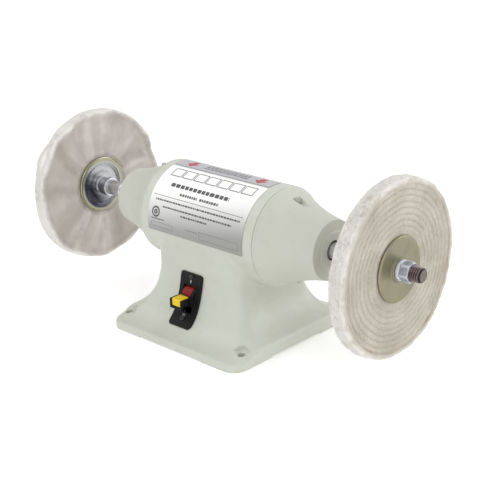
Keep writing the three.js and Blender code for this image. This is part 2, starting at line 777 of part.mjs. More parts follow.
function namePlate() {
  const degrees = THREE.MathUtils.degToRad;
  return shellStrip(-98, 98, degrees(13), degrees(100), SHELL_RADIUS + 0.35, SHELL_RADIUS + 0.85);
}

function directionPlate() {
  const degrees = THREE.MathUtils.degToRad;
  return shellStrip(-100, 96, degrees(-9), degrees(10), SHELL_RADIUS + 0.35, SHELL_RADIUS + 0.85);
}

// ---- Assembly ----

function mesh(name, body, material) {
  const { numProp, vertProperties, triVerts } = body.getMesh();
  const geometry = new THREE.BufferGeometry();
  const positions = Array.from({ length: vertProperties.length / numProp }, (unused, i) => [
    ...vertProperties.slice(i * numProp, i * numProp + 3),
  ]);
  geometry.setAttribute("position", new THREE.Float32BufferAttribute(positions.flat(), 3));
  geometry.setIndex([...triVerts]);
  geometry.computeVertexNormals();
  const made = new THREE.Mesh(geometry, material);
  made.name = name;
  return made;
}

const grinder = new THREE.Group();
const sides = [["left", -1], ["right", 1]];
const ends = [["top", 1], ["bottom", -1]];

grinder.add(
  mesh("motor_housing", motorHousing(), bodyPaint),
  mesh("stator_core", statorCore(), laminations),
  mesh("stator_winding", statorWinding(), copper),
  mesh("rotor_core", rotorCore(), laminations),
  mesh("spindle", spindle(), brightSteel),
  mesh("wave_washer", waveWasher(), brightSteel),
  mesh("governor_hub", governorHub(), blackPlastic),
  mesh("governor_collar", governorCollar(), whitePlastic),
  mesh("centrifugal_switch", centrifugalSwitch(), blackPlastic),
  mesh("base_cover", baseCover(), darkSteel),
  mesh("start_capacitor", startCapacitor(), castAluminium),
  mesh("capacitor_clamp", capacitorClamp(), zincSteel),
  mesh("terminal_block", terminalBlock(), whitePlastic),
  mesh("cord_gland", cordGland(), blackPlastic),
  mesh("switch_plate", switchPlate(), blackPlastic),
  mesh("switch_body", switchBody(), blackPlastic),
  mesh("switch_lever", switchLever(), blackPlastic),
  mesh("safety_key", safetyKey(), yellowPlastic),
  mesh("name_plate", namePlate(), labelFoil),
  mesh("direction_plate", directionPlate(), labelFoil),
);

for (const [word, side] of sides) {
  grinder.add(
    mesh(`${word}_end_bell`, endBell(side), bodyPaint),
    mesh(`${word}_bearing_outer_ring`, bearingRace(side, BEARING_OUTSIDE, 22.4, 23.9), brightSteel),
    mesh(`${word}_bearing_inner_ring`, bearingRace(side, JOURNAL_RADIUS + GAP, 16.2, 15.2), brightSteel),
    mesh(`${word}_bearing_balls`, bearingCage(side), brightSteel),
    mesh(`${word}_shaft_seal`, shaftSeal(side), rubber),
    mesh(`${word}_rotor_end_ring`, rotorEndRing(side), castAluminium),
    mesh(`${word}_spindle_collar`, spindleCollar(side), brightSteel),
    mesh(`${word}_inner_flange`, innerFlange(side), platedSteel),
    mesh(`${word}_buffing_wheel`, buffingWheel(side), cotton),
    mesh(`${word}_outer_flange`, outerFlange(side), platedSteel),
    mesh(`${word}_spindle_washer`, spindleWasher(side), zincSteel),
    mesh(`${word}_spindle_nut`, spindleNut(side), zincSteel),
  );
}

for (const [word, up] of ends) {
  grinder.add(
    mesh(`${word}_through_bolt`, throughBolt(up), darkSteel),
    mesh(`${word}_through_bolt_nut`, throughBoltNut(up), darkSteel),
  );
}

plateScrewAxes().forEach((along, i) => {
  grinder.add(mesh(`${["lower", "upper"][i]}_plate_screw`, switchPlateScrew(along), darkSteel));
});

coverScrewPlaces().forEach((place, i) => {
  grinder.add(mesh(`cover_screw_${i + 1}`, coverScrew(place), zincSteel));
});

export default grinder;
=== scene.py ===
# The finished look of a bench grinder with two cotton buffing wheels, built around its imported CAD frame.
# Lengths are in millimetres until a mesh is made. +X is the right-hand wheel, -Y the front, +Z up.

import json
import math

import bpy
import numpy as np
from mathutils import Matrix, Vector


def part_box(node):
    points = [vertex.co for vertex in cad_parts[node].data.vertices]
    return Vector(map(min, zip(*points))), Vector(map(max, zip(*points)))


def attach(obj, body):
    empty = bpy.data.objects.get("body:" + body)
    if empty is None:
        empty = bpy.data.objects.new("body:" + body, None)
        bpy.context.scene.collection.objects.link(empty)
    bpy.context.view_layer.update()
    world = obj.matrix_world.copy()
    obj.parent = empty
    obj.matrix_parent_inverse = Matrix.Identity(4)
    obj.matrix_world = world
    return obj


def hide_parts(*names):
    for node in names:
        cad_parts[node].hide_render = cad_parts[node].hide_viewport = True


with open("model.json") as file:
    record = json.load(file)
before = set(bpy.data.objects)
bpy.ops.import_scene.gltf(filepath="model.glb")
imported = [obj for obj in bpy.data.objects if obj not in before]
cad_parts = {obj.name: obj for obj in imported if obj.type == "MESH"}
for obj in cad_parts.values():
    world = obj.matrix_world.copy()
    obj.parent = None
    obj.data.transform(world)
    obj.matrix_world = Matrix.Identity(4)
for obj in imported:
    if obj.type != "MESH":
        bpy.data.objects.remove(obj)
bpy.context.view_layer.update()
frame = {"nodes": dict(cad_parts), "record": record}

MM = 0.001
TURN = 2 * math.pi


# ---- Sizes read from the frame ----

def corners_of(node):
    """A CAD node's lowest and highest corners, in millimetres."""
    low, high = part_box(node)
    return np.array(low) / MM, np.array(high) / MM


AXIS = float(sum(corner[2] for corner in corners_of("spindle")) / 2)
SPINDLE_END = float(corners_of("spindle")[1][0])
WHEEL_CENTRE = float(sum(corner[0] for corner in corners_of("right_buffing_wheel")) / 2)
INNER_FLANGE_BACK = float(corners_of("right_inner_flange")[0][0])
INNER_FLANGE_FACE = float(corners_of("right_inner_flange")[1][0])
OUTER_FLANGE_FACE = float(corners_of("right_outer_flange")[0][0])
NUT_START, NUT_END = (float(corner[0]) for corner in corners_of("right_spindle_nut"))
WASHER_START, WASHER_END = (float(corner[0]) for corner in corners_of("right_spindle_washer"))
WASHER_RADIUS = float(corners_of("right_spindle_washer")[1][1])
COLLAR_START, COLLAR_END = (float(corner[0]) for corner in corners_of("right_spindle_collar"))
BELL_START, BELL_LIP = (float(corner[0]) for corner in corners_of("right_end_bell"))
BASE_HALF_WIDTH = float(corners_of("motor_housing")[1][0])
BASE_HALF_DEPTH = float(corners_of("motor_housing")[1][1])
PLATE_X = float(sum(corner[0] for corner in corners_of("switch_plate")) / 2)
PLATE_LOW, PLATE_HIGH = (float(corner[2]) for corner in corners_of("switch_plate"))
GLAND_X, GLAND_Z = (float(sum(corner[axis] for corner in corners_of("cord_gland")) / 2) for axis in (0, 2))
GLAND_END = float(corners_of("cord_gland")[1][1])
LEVER_FRONT = float(corners_of("switch_lever")[0][1])
KEY_LEFT, KEY_RIGHT = (float(corner[0]) for corner in corners_of("safety_key"))

# Motor shell and bells
SHELL_RADIUS = 75.2
SHELL_BORE = 66.3
SHELL_HALF_LENGTH = 115
BELL_FACE = 203
BELL_FACE_RADIUS = 44.5
BELL_HUB_BACK = 178
BELL_SHOULDER = 118
BELL_HOLE = 15
BOLT_ORBIT = 60.5
BOLT_SEAT = 135
POCKET_RADIUS = 7

# Pedestal and foot
BASE_CORNER = 24
WAIST_CORNER = 11
WAIST_HEIGHT = 97
WAIST_HALF_WIDTH = 86.6
WAIST_HALF_DEPTH = 69.6
SIDE_RIM = 22
FRONT_RIM = 11.5
PEDESTAL_WALL = 6
PEDESTAL_TOP = 150
CAVITY_HALF_WIDTH = 84
CAVITY_HALF_DEPTH = 72
CAVITY_TOP = 130
MOUTH_HALF_WIDTH = 96
MOUTH_HALF_DEPTH = 84
MOUTH_DEPTH = 6
PAD_RELIEF = 3
RELIEF_HALF_WIDTH = 67
RELIEF_HALF_DEPTH = 56
FOOT_HOLE_X = 120
FOOT_HOLE_Y = 105
FOOT_HOLE_RADIUS = 5.5
SPOT_FACE_RADIUS = 13
SPOT_FACE_HEIGHT = 20
GLAND_HOLE_RADIUS = 9.3

# Spindle, flanges and wheels
SHAFT_RADIUS = 12.5
SLEEVE_BORE = 11.4
COLLAR_RADIUS = 15.6
THREAD_RADIUS = 11.1
THREAD_START = 294.8
THREAD_PITCH = 3.4
THREAD_DEPTH = 1.7
HUB_HALF_THICKNESS = 7.6
WHEEL_RADIUS = 126.3
FLANGE_RADIUS = 47.2
NUT_ACROSS_FLATS = 26.4
NUT_TURN = math.radians(10)

# Rocker switch
LOWER_SCREW_Z = 33.0
UPPER_SCREW_Z = 94.0
PIVOT_Y = -67
PIVOT_Z = 61
PADDLE_LEFT = PLATE_X - 14
PADDLE_BACK = -90
PADDLE_BOTTOM = PIVOT_Z - 8


# ---- Shaping helpers ----

def eased(corners, steps=4, closed=True):
    """An outline through (x, y, size) corners, each rounded off over its size."""
    points = []
    for i, (x, y, size) in enumerate(corners):
        here = np.array([x, y], float)
        at_end = not closed and i in (0, len(corners) - 1)
        if size == 0 or at_end:
            points.append(here)
            continue
        arms = []
        for other in (corners[i - 1], corners[(i + 1) % len(corners)]):
            arm = np.array(other[:2], float) - here
            length = np.linalg.norm(arm)
            arms.append(here + arm / length * min(size, 0.49 * length))
        for t in np.linspace(0, 1, steps + 1):
            points.append((1 - t) ** 2 * arms[0] + 2 * t * (1 - t) * here + t * t * arms[1])
    return np.array(points)


def facing_out(points, faces):
    """The faces of a closed form, turned to look outwards."""
    fans = np.array([(face[0], face[k], face[k + 1]) for face in faces for k in range(1, len(face) - 1)])
    a, b, c = points[fans.T]
    volume = np.einsum("ij,ij->", a, np.cross(b, c))
    return faces if volume > 0 else [face[::-1] for face in faces]


def skin(rings, closed=False):
    """A closed form through a stack of rings. A closed stack is a loop; an open one is capped."""
    rings = np.asarray(rings, float)
    count, around = rings.shape[:2]
    i = np.arange(count if closed else count - 1)[:, None]
    j = np.arange(around)[None, :]
    above = (i + 1) % count * around
    after = (j + 1) % around
    faces = np.stack([i * around + j, i * around + after, above + after, above + j], axis=-1)
    faces = faces.reshape(-1, 4).tolist()
    if not closed:
        last = (count - 1) * around
        faces += [list(range(around))[::-1], list(range(last, last + around))]
    points = rings.reshape(-1, 3)
    return points, facing_out(points, faces)


def joined(shapes):
    points, faces, start = [], [], 0
    for shape_points, shape_faces in shapes:
        points.append(shape_points)
        faces += [[start + corner for corner in face] for face in shape_faces]
        start += len(shape_points)
    return np.concatenate(points), faces


def mirrored(shape):
    """The same form on the other side of the machine."""
    points, faces = shape
    return points * [-1, 1, 1], [face[::-1] for face in faces]


def on_side(shape, side):
    return shape if side > 0 else mirrored(shape)


def side_word(side):
    return "right" if side > 0 else "left"


def turned(profile, steps=120, shaped=None, closed=True, origin=(0, 0, AXIS), axis=(1, 0, 0)):
    """A round form from (distance, radius) points about an axis; shaped() may vary the radius round it.
    About the spindle, the angle runs from straight up towards the front."""
    along, radius = (np.array(column)[:, None] for column in np.array(profile, float).T)
    angle = np.linspace(0, TURN, steps, endpoint=False)[None, :]
    radius = radius + 0 * angle
    if shaped:
        radius = shaped(along, radius, angle)
    axis = Vector(axis).normalized()
    first = Vector((0, 0, 1)) - axis * axis.z
    first = (first if first.length > 0.1 else Vector((0, 1, 0))).normalized()
    second = first.cross(axis)
    spread = radius[..., None]
    rings = np.array(origin) + along[..., None] * np.array(axis) + spread * (
        np.cos(angle)[..., None] * np.array(first) - np.sin(angle)[..., None] * np.array(-second)
    )
    return skin(rings, closed)


def hexagonal(across_flats, chamfer_start, low, high, turn=0.0):
    """A shaped() function: a hexagon whose corners are chamfered at both of its ends."""
    def radius_at(along, radius, angle):
        sector = (angle + turn + TURN / 12) % (TURN / 6) - TURN / 12
        hexagon = across_flats / 2 / np.cos(sector)
        depth = np.minimum(np.abs(along - low), np.abs(along - high))
        cone = chamfer_start + depth * 1.7
        return np.where(radius > across_flats * 0.42, np.minimum(hexagon, cone), radius)
    return radius_at


def hex_nut(low, high, across_flats, hole, turn=0.0, **place):
    """A chamfered hexagon with a countersunk hole."""
    rise = np.array([0, 0.4, 0.8, 1.3, 2.0, 3.0])
    edge = np.concatenate([low + rise, high - rise[::-1]])
    start = across_flats * 0.485
    profile = [(low, hole + 0.9)]
    profile += [(x, across_flats) for x in edge]
    profile += [(high, hole + 0.9), (high - 0.9, hole), (low + 0.9, hole)]
    return turned(profile, 144, hexagonal(across_flats, start, low, high, turn), **place)


def rounded_outline(half_width, half_height, corner, count):
    """Points spaced evenly round a rectangle with round corners."""
    arc = np.linspace(0, TURN / 4, 9)
    dense = []
    for quarter, (side_x, side_y) in enumerate([(1, 1), (-1, 1), (-1, -1), (1, -1)]):
        angle = arc + quarter * TURN / 4
        dense += list(zip(side_x * (half_width - corner) + corner * np.cos(angle),
                          side_y * (half_height - corner) + corner * np.sin(angle)))
    dense = np.array(dense + dense[:1])
    travelled = np.concatenate([[0], np.cumsum(np.linalg.norm(np.diff(dense, axis=0), axis=1))])
    wanted = np.linspace(0, travelled[-1], count, endpoint=False)
    return np.stack([np.interp(wanted, travelled, dense[:, k]) for k in (0, 1)], axis=1)


def plate_on(place, u0, u1, v0, v1, corner, low, high, columns=24, rows=16):
    """A thin plate with round corners on a curved surface; place(u, v, height) gives its points."""
    half = (v1 - v0) / 2
    arc = corner * np.sin(np.linspace(0, TURN / 4, 6))
    across = np.unique(np.round(np.concatenate([
        half - corner + arc, np.linspace(-half + corner, half - corner, rows), -half + corner - arc]), 4))
    past = np.clip(np.abs(across) - (half - corner), 0, corner)
    inset = corner - np.sqrt(np.maximum(corner ** 2 - past ** 2, 0))
    middle, reach = (u0 + u1) / 2, (u1 - u0) / 2 - inset[:, None]
    u = middle + np.linspace(-1, 1, columns)[None, :] * reach
    v = (v0 + v1) / 2 + across[:, None] + 0 * u
    top = place(u, v, high)
    bottom = place(u, v, low)
    return skin(np.concatenate([top, bottom[:, ::-1]], axis=1))


def bevelled_block(low, high, bevel):
    """A block with rounded edges, as rings along Z."""
    low, high = np.array(low, float), np.array(high, float)
    centre, half = (low + high) / 2, (high - low) / 2
    rings = []
    for turn in np.linspace(0, TURN / 4, 4):
        inset, drop = bevel * (1 - math.sin(turn)), bevel * (1 - math.cos(turn))
        rings.append((inset, -half[2] + drop))
    rings += [(inset, -z) for inset, z in rings[::-1]]
    shape = []
    for inset, z in rings:
        outline = rounded_outline(half[0] - inset, half[1] - inset, max(bevel - inset, 0.05), 32)
        shape.append(np.column_stack([outline + centre[:2], np.full(len(outline), centre[2] + z)]))
    return skin(shape)


def prism(outline, x0, x1, bevel):
    """A side-on outline of (y, z) points drawn out along X, its edges slightly rounded."""
    outline = np.array(outline, float)
    ahead, behind = np.roll(outline, -1, axis=0), np.roll(outline, 1, axis=0)
    along = ahead - behind
    normal = np.stack([along[:, 1], -along[:, 0]], axis=1)
    normal /= np.linalg.norm(normal, axis=1)[:, None]
    area = np.sum(outline[:, 0] * ahead[:, 1] - ahead[:, 0] * outline[:, 1])
    inward = -normal if area > 0 else normal
    rings = []
    for inset, x in ((bevel, x0), (bevel * 0.3, x0 + bevel * 0.3), (0, x0 + bevel),
                     (0, x1 - bevel), (bevel * 0.3, x1 - bevel * 0.3), (bevel, x1)):
        flat = outline + inward * inset
        rings.append(np.column_stack([np.full(len(flat), x), flat]))
    return skin(rings)


def add_piece(name, shape, body, slot, replaces=(), finishes=None, which=None, sharp_angle=40):
    """Makes a piece of the object from a closed form and ties it to the frame. It has its slot's finish
    unless others are given, and which() says where each of several goes, by the middles of the faces."""
    points, faces = shape
    mesh = bpy.data.meshes.new(name)
    mesh.from_pydata((points * MM).tolist(), [], faces)
    for finish in finishes or [SLOT_FINISH[slot]]:
        mesh.materials.append(finish)
    mesh.polygons.foreach_set("use_smooth", np.ones(len(mesh.polygons), bool))
    if which is not None:
        middles = np.array([points[face].mean(axis=0) for face in faces])
        mesh.polygons.foreach_set("material_index", which(middles).astype(np.int32))
    mesh.set_sharp_from_angle(angle=math.radians(sharp_angle))
    mesh.update()
    piece = bpy.data.objects.new(name, mesh)
    bpy.context.scene.collection.objects.link(piece)
    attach(piece, body)
    if replaces:
        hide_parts(*replaces)
    return piece


# ---- Materials ----

def tone(red, green, blue):
    """A colour on screen, from 0 to 255, as Blender's linear colour."""
    shares = [value / 255 for value in (red, green, blue)]
    linear = [share / 12.92 if share < 0.0404 else ((share + 0.055) / 1.055) ** 2.4 for share in shares]
    return (*linear, 1)


class NodeTree:
    """Short ways to add nodes to a shader tree."""

    def __init__(self, tree):
        self.tree = tree

    def node(self, kind, inputs=None, **settings):
        """Adds a node. An input is a value or another node's output."""
        made = self.tree.nodes.new("ShaderNode" + kind)
        for key, value in settings.items():
            setattr(made, key, value)
        for key, value in (inputs or {}).items():
            if isinstance(value, bpy.types.NodeSocket):
                self.tree.links.new(value, made.inputs[key])
            else:
                made.inputs[key].default_value = value
        return made

    def maths(self, operation, a, b=0.0):
        return self.node("Math", {0: a, 1: b}, operation=operation).outputs[0]

    def vector_maths(self, operation, a, b=(0, 0, 0)):
        """Gives the vector or the value, whichever the operation makes."""
        made = self.node("VectorMath", {0: a, 1: b}, operation=operation)
        return made.outputs["Value" if operation in ("LENGTH", "DOT_PRODUCT") else "Vector"]

    def span(self, value, low, high, to_low=0.0, to_high=1.0):
        """Maps low to high onto another range, without going past it."""
        return self.node("MapRange", {"Value": value, "From Min": low, "From Max": high,
                                      "To Min": to_low, "To Max": to_high}).outputs[0]

    def mixed(self, factor, a, b):
        """Mixes two colours. Each is another node's output or a colour on screen."""
        a, b = (tone(*colour) if isinstance(colour, tuple) else colour for colour in (a, b))
        return self.node("Mix", {0: factor, 6: a, 7: b}, data_type="RGBA").outputs[2]


class Finish(NodeTree):
    """A material in the making. Constants are set on the shader's own sockets; lengths are in metres."""

    def __init__(self, name, **constants):
        self.material = bpy.data.materials.new(name)
        self.material.use_nodes = True
        super().__init__(self.material.node_tree)
        self.shader = self.tree.nodes["Principled BSDF"]
        for key, value in constants.items():
            self.shader.inputs[key.replace("_", " ")].default_value = value
        self.place = self.node("TexCoord").outputs["Object"]

    def axes(self):
        """The place's X, Y and Z."""
        return self.node("SeparateXYZ", {0: self.place}).outputs

    def noise(self, scale, detail=3.0, roughness=0.5, place=None):
        return self.node("TexNoise", {"Vector": self.place if place is None else place, "Scale": scale,
                                      "Detail": detail, "Roughness": roughness}).outputs["Fac"]

    def blots(self, scale, low, high, to_low=0.0, to_high=1.0, detail=3.0, roughness=0.5):
        """Noise with the part from low to high spread over another range."""
        return self.span(self.noise(scale, detail, roughness), low, high, to_low, to_high)

    def bumped(self, height, distance, below=None):
        inputs = {"Height": height, "Distance": distance, "Strength": 1.0}
        if below is not None:
            inputs["Normal"] = below
        return self.node("Bump", inputs).outputs[0]

    def centred(self):
        """The place measured from the spindle's centre."""
        return self.vector_maths("SUBTRACT", self.place, (0, 0, AXIS * MM))

    def across_axis(self):
        """The same, square to the spindle."""
        return self.vector_maths("MULTIPLY", self.centred(), (0, 1, 1))

    def from_axis(self):
        """Distance from the spindle's centre line."""
        return self.vector_maths("LENGTH", self.across_axis())

    def done(self, **sockets):
        """Connects node outputs to the shader and gives the material."""
        for key, value in sockets.items():
            self.tree.links.new(value, self.shader.inputs[key.replace("_", " ")])
        return self.material


def painted(name, colour, light, dark, rough):
    """Enamel on metal: soft mottling, grime, orange peel and slightly uneven gloss."""
    paint = Finish(name, Coat_Weight=0.12, Coat_Roughness=0.25)
    shade = paint.mixed(paint.blots(9, 0.35, 0.65, detail=2), colour, light)
    grime = paint.blots(55, 0.52, 0.75, 0, 0.35, detail=5, roughness=0.6)
    gloss = paint.blots(70, 0.3, 0.7, rough - 0.05, rough + 0.07)
    cast = paint.bumped(paint.noise(40), 0.0006)
    orange_peel = paint.bumped(paint.noise(520, 2), 0.00006, cast)
    return paint.done(Base_Color=paint.mixed(grime, shade, dark), Roughness=gloss, Normal=orange_peel)


def metal(name, colour, stain, rough, marks, stain_scale=60, stain_amount=0.5, metallic=1.0, shaded=None):
    """Metal with fine turning marks about the spindle and a slight stain. shaded() may alter its colour."""
    surface = Finish(name, Metallic=metallic)
    blot = surface.blots(stain_scale, 0.42, 0.7, 0, stain_amount, detail=4, roughness=0.6)
    shade = surface.mixed(blot, colour, stain)
    gloss = surface.blots(180, 0.3, 0.7, rough - 0.04, rough + 0.08)
    radius = surface.from_axis()
    if shaded:
        shade = shaded(surface, radius, shade)
    rings = surface.node("CombineXYZ", {"X": surface.axes()[0], "Y": radius}).outputs[0]
    relief = surface.bumped(surface.noise(2600, 2, place=rings), marks)
    return surface.done(Base_Color=shade, Roughness=gloss, Normal=relief)


def groove_shade(surface, radius, shade):
    """Painted shade in the grooves of the thread."""
    deep = (THREAD_RADIUS - THREAD_DEPTH * 0.9) * MM
    # Painted shade, darkest at the bottom of the grooves
    painted_groove_shade = surface.span(radius, deep, THREAD_RADIUS * MM, 1.0, 0)
    return surface.mixed(painted_groove_shade, shade, (40, 32, 34))


def painted_reflection_dish(surface, radius, shade):
    """Painted reflections on a flange's dish: pale grey inside its rim, dark towards the front and below.
    """
    inside = surface.span(radius, 0.0415, 0.0385)
    # Pale grey inside the rim is a painted bright reflection
    shade = surface.mixed(inside, shade, (172, 173, 175))
    back_and_up = surface.vector_maths("DOT_PRODUCT", surface.centred(), (0, 0.8, 0.6))
    # A painted dark reflection towards the front and below
    dark_reflection = surface.maths("MULTIPLY", surface.span(back_and_up, 0.002, -0.022), inside)
    return surface.mixed(dark_reflection, shade, (58, 59, 68))


def plastic(name, colour, light, rough, grain=0.00005, **constants):
    """Moulded plastic with a fine grain and faint scuffs."""
    surface = Finish(name, **constants)
    scuff = surface.blots(160, 0.5, 0.8, 0, 0.5, detail=5, roughness=0.7)
    gloss = surface.blots(300, 0.3, 0.7, rough - 0.05, rough + 0.08, detail=2)
    relief = surface.bumped(surface.noise(1400, 2), grain)
    return surface.done(Base_Color=surface.mixed(scuff, colour, light), Roughness=gloss, Normal=relief)


def soiled_row(cloth, radius, height, shade):
    """Grime along the outermost row of stitches, more of it low on the wheel."""
    aside = cloth.maths("ABSOLUTE", cloth.maths("SUBTRACT", radius, 0.1165))
    near_row = cloth.span(aside, 0.003, 0.0005)
    low = cloth.span(height, AXIS * MM + 0.04, AXIS * MM - 0.09, 0.25, 1)
    patches = cloth.maths("ADD", cloth.blots(38, 0.5, 0.72, roughness=0.6), 0.35)
    soil = cloth.maths("MULTIPLY", cloth.maths("MULTIPLY", near_row, low), patches)
    return cloth.mixed(soil, shade, (178, 156, 130))


def fanned_sheen_and_shade(cloth, shade, dark, light):
    """Painted shade and painted sheen in streaks that fan out from the flange over loose layers."""
    outward = cloth.vector_maths("NORMALIZE", cloth.across_axis())
    fan = cloth.noise(2.6, 2, place=outward)
    shade = cloth.mixed(cloth.span(fan, 0.46, 0.66, 0, 0.9), shade, dark)
    return cloth.mixed(cloth.span(fan, 0.44, 0.3, 0, 0.35), shade, light)


WEAVE_PITCH = 0.0013


def cotton(name, face, face_dark, rim, crease_shade_colour, sewn):
    """Plain-weave cotton: threads, soiled patches, painted shade and sheen on its folds, and a cleaner
    frayed rim.
    """
    cloth = Finish(name, Roughness=0.95, Sheen_Weight=0.25, Sheen_Roughness=0.6, Specular_IOR_Level=0.15)
    radius = cloth.from_axis()
    _, depth, height = cloth.axes()
    shade = cloth.mixed(cloth.blots(26, 0.38, 0.66, detail=4, roughness=0.6), face, face_dark)
    if sewn:
        shade = soiled_row(cloth, radius, height, shade)
    else:
        shade = fanned_sheen_and_shade(cloth, shade, face_dark, rim)
    wavy = cloth.maths("ADD", radius, cloth.blots(45, 0.3, 0.7, -0.003, 0.003, roughness=0.6))
    shade = cloth.mixed(cloth.span(wavy, 0.117, 0.121, 0, 0.35), shade, rim)
    shade = cloth.mixed(cloth.span(wavy, 0.1215, 0.1245), shade, rim)
    # Painted shade in the creases, from the wheel's point attribute, broken up by noise
    crease_shade = cloth.node("Attribute", attribute_name="crease_shade").outputs["Fac"]
    broken = cloth.blots(60, 0.35, 0.65, 0.2, 0.7, roughness=0.6)
    crease_shade_mask = cloth.maths("MULTIPLY", cloth.span(crease_shade, 0.1, 1.0), broken)
    shade = cloth.mixed(crease_shade_mask, shade, crease_shade_colour)
    fibres = cloth.noise(1500, 3, 0.7)
    shade = cloth.mixed(cloth.span(fibres, 0.55, 0.8, 0, 0.35), shade, (236, 232, 226))
    warp, weft = (cloth.maths("SINE", cloth.maths("MULTIPLY", way, TURN / WEAVE_PITCH))
                  for way in (depth, height))
    woven = cloth.bumped(cloth.maths("MULTIPLY", warp, weft), 0.00014)
    tufts = cloth.bumped(cloth.noise(240, 4, 0.6), 0.0012 if sewn else 0.0004, woven)
    return cloth.done(Base_Color=shade, Normal=cloth.bumped(fibres, 0.00035, tufts))


def label_stock():
    """Brushed silver foil, a painted highlight fading to painted shade towards its lower edge, sooner at
    the right.
    """
    foil = Finish("label_stock", Roughness=0.32, Coat_Weight=0.2)
    sloped = foil.vector_maths("DOT_PRODUCT", foil.place, (-0.12, 0, 1))
    # The ramp is painted light: white high on the foil, painted shade down to grey at its lower edge
    ramp = foil.node("ValToRGB", {0: foil.span(sloped, (AXIS - 14) * MM, (AXIS + 74) * MM)})
    stops = ramp.color_ramp.elements
    stops[0].color, stops[1].color = tone(148, 148, 144), tone(250, 250, 250)
    for position, grey in ((0.16, 153), (0.27, 174), (0.39, 194), (0.5, 213), (0.62, 229), (0.78, 248)):
        stop = stops.new(position)
        stop.color = tone(grey, grey, grey - 2)
    brushed = foil.noise(1, 2, place=foil.vector_maths("MULTIPLY", foil.place, (60, 1500, 1500)))
    # The brushed grain shows darker towards the lower edge, along with the painted shade
    silver = foil.span(foil.axes()[2], (AXIS + 40) * MM, (AXIS + 5) * MM, 0, 0.18)
    shade = foil.mixed(foil.maths("MULTIPLY", brushed, silver), ramp.outputs[0], (120, 120, 118))
    return foil.done(Base_Color=shade, Normal=foil.bumped(brushed, 0.00002))


def ink(name, colour):
    """Printed ink, slightly uneven."""
    print_ink = Finish(name, Roughness=0.5)
    speckle = print_ink.blots(900, 0.4, 0.7, 0, 0.4, detail=2)
    return print_ink.done(Base_Color=print_ink.mixed(speckle, colour, (150, 150, 150)))


def layered(name, colour, gap_colour, pitch, metallic, rough):
    """Layers stacked along the spindle: laminations, or wire laid side by side."""
    stack = Finish(name, Metallic=metallic)
    wave = stack.maths("SINE", stack.maths("MULTIPLY", stack.axes()[0], TURN / pitch))
    shade = stack.mixed(stack.span(wave, -1.0, -0.4, 1, 0), colour, gap_colour)
    gloss = stack.blots(220, 0.3, 0.7, rough - 0.06, rough + 0.08)
    return stack.done(Base_Color=shade, Roughness=gloss, Normal=stack.bumped(wave, 0.00008))


SLOT_FINISH = {
    "body_paint": painted("body_enamel", (195, 197, 185), (201, 204, 193), (185, 186, 173), 0.42),
    "black_steel": painted("black_sheet_steel", (42, 40, 40), (52, 50, 50), (30, 28, 28), 0.5),
    "ground_steel": metal("ground_steel_finish", (222, 223, 230), (184, 184, 190), 0.3, 0.00002),
    "bright_zinc": metal("bright_zinc_finish", (216, 221, 231), (194, 198, 208), 0.42, 0.00001, 120,
                         metallic=0.15),
    "yellow_zinc": metal("yellow_zinc_finish", (150, 143, 119), (134, 134, 115), 0.46, 0.00003, 30, 0.8),
    "cast_aluminium": metal("cast_aluminium_finish", (178, 180, 182), (140, 142, 144), 0.5, 0.00006, 300),
    "laminated_steel": layered("lamination_stack", (120, 122, 126), (60, 60, 62), 0.0005, 0.9, 0.5),
    "enamelled_copper": layered("enamelled_wire", (164, 84, 44), (84, 36, 18), 0.0012, 0.7, 0.35),
    "black_plastic": plastic("black_moulding", (20, 18, 20), (38, 36, 40), 0.5, Specular_IOR_Level=0.18),
    "white_plastic": plastic("white_moulding", (222, 220, 212), (200, 198, 188), 0.45),
    "yellow_plastic": plastic("yellow_moulding", (228, 198, 40), (232, 206, 74), 0.4, 0.00002,
                              Specular_IOR_Level=0.2),
    "seal_rubber": plastic("nitrile_rubber", (92, 92, 88), (112, 112, 108), 0.75, 0.0001),
    # The fourth colour of a cotton is its painted crease shade
    "stitched_cotton": cotton("sewn_cotton", (202, 196, 183), (182, 175, 160), (240, 236, 230),
                              (164, 151, 128), True),
    "label_foil": label_stock(),
    "label_grey": plastic("grey_foil", (182, 181, 187), (170, 169, 176), 0.35, 0.00001, Coat_Weight=0.2),
}

# Finishes of pieces that differ from the rest of their slot
# Its fourth colour is the painted crease shade
LOOSE_COTTON = cotton("loose_cotton", (204, 197, 191), (182, 174, 167), (240, 236, 230),
                      (156, 147, 140), False)
THREAD_COTTON = cotton("sewing_thread", (206, 197, 178), (188, 176, 152), (206, 197, 178),
                       (188, 176, 152), True)
# Thread steel with painted shade in its grooves
SHADED_GROOVE_THREAD = metal("thread_steel_groove_shade", (146, 130, 131), (92, 78, 78), 0.32, 0.00002, 240, 0.7,
                     shaded=groove_shade)
WORN_END = metal("worn_steel_end", (124, 117, 111), (78, 70, 66), 0.42, 0.00003, 300, 0.8)
# Yellow zinc with painted reflections in the dish, for the inner flanges
PAINTED_REFLECTION_DISH = metal("painted_reflection_dish", (158, 154, 132), (138, 138, 118), 0.22, 0.00002, 30, 0.6,
                      shaded=painted_reflection_dish)
PHOSPHATED = painted("phosphated_steel", (170, 172, 162), (182, 184, 175), (150, 152, 142), 0.5)
RED_PLASTIC = plastic("red_moulding", (132, 36, 32), (146, 48, 42), 0.42, 0.00002, Specular_IOR_Level=0.15)
BLACK_INK = ink("black_ink", (52, 52, 54))
GREY_INK = ink("grey_ink", (112, 112, 114))
RED_INK = ink("red_ink", (186, 56, 74))
LIGHT_INK = ink("light_ink", (196, 196, 198))


def finish_cad_nodes():
    """Gives every CAD node the finish of its slot in the record."""
    slots = {part["node"]: part["material_slot"] for part in frame["record"]["subparts"]}
    for name, piece in frame["nodes"].items():
        for place in piece.material_slots:
            place.material = SLOT_FINISH[slots[name]]


# ---- Castings ----

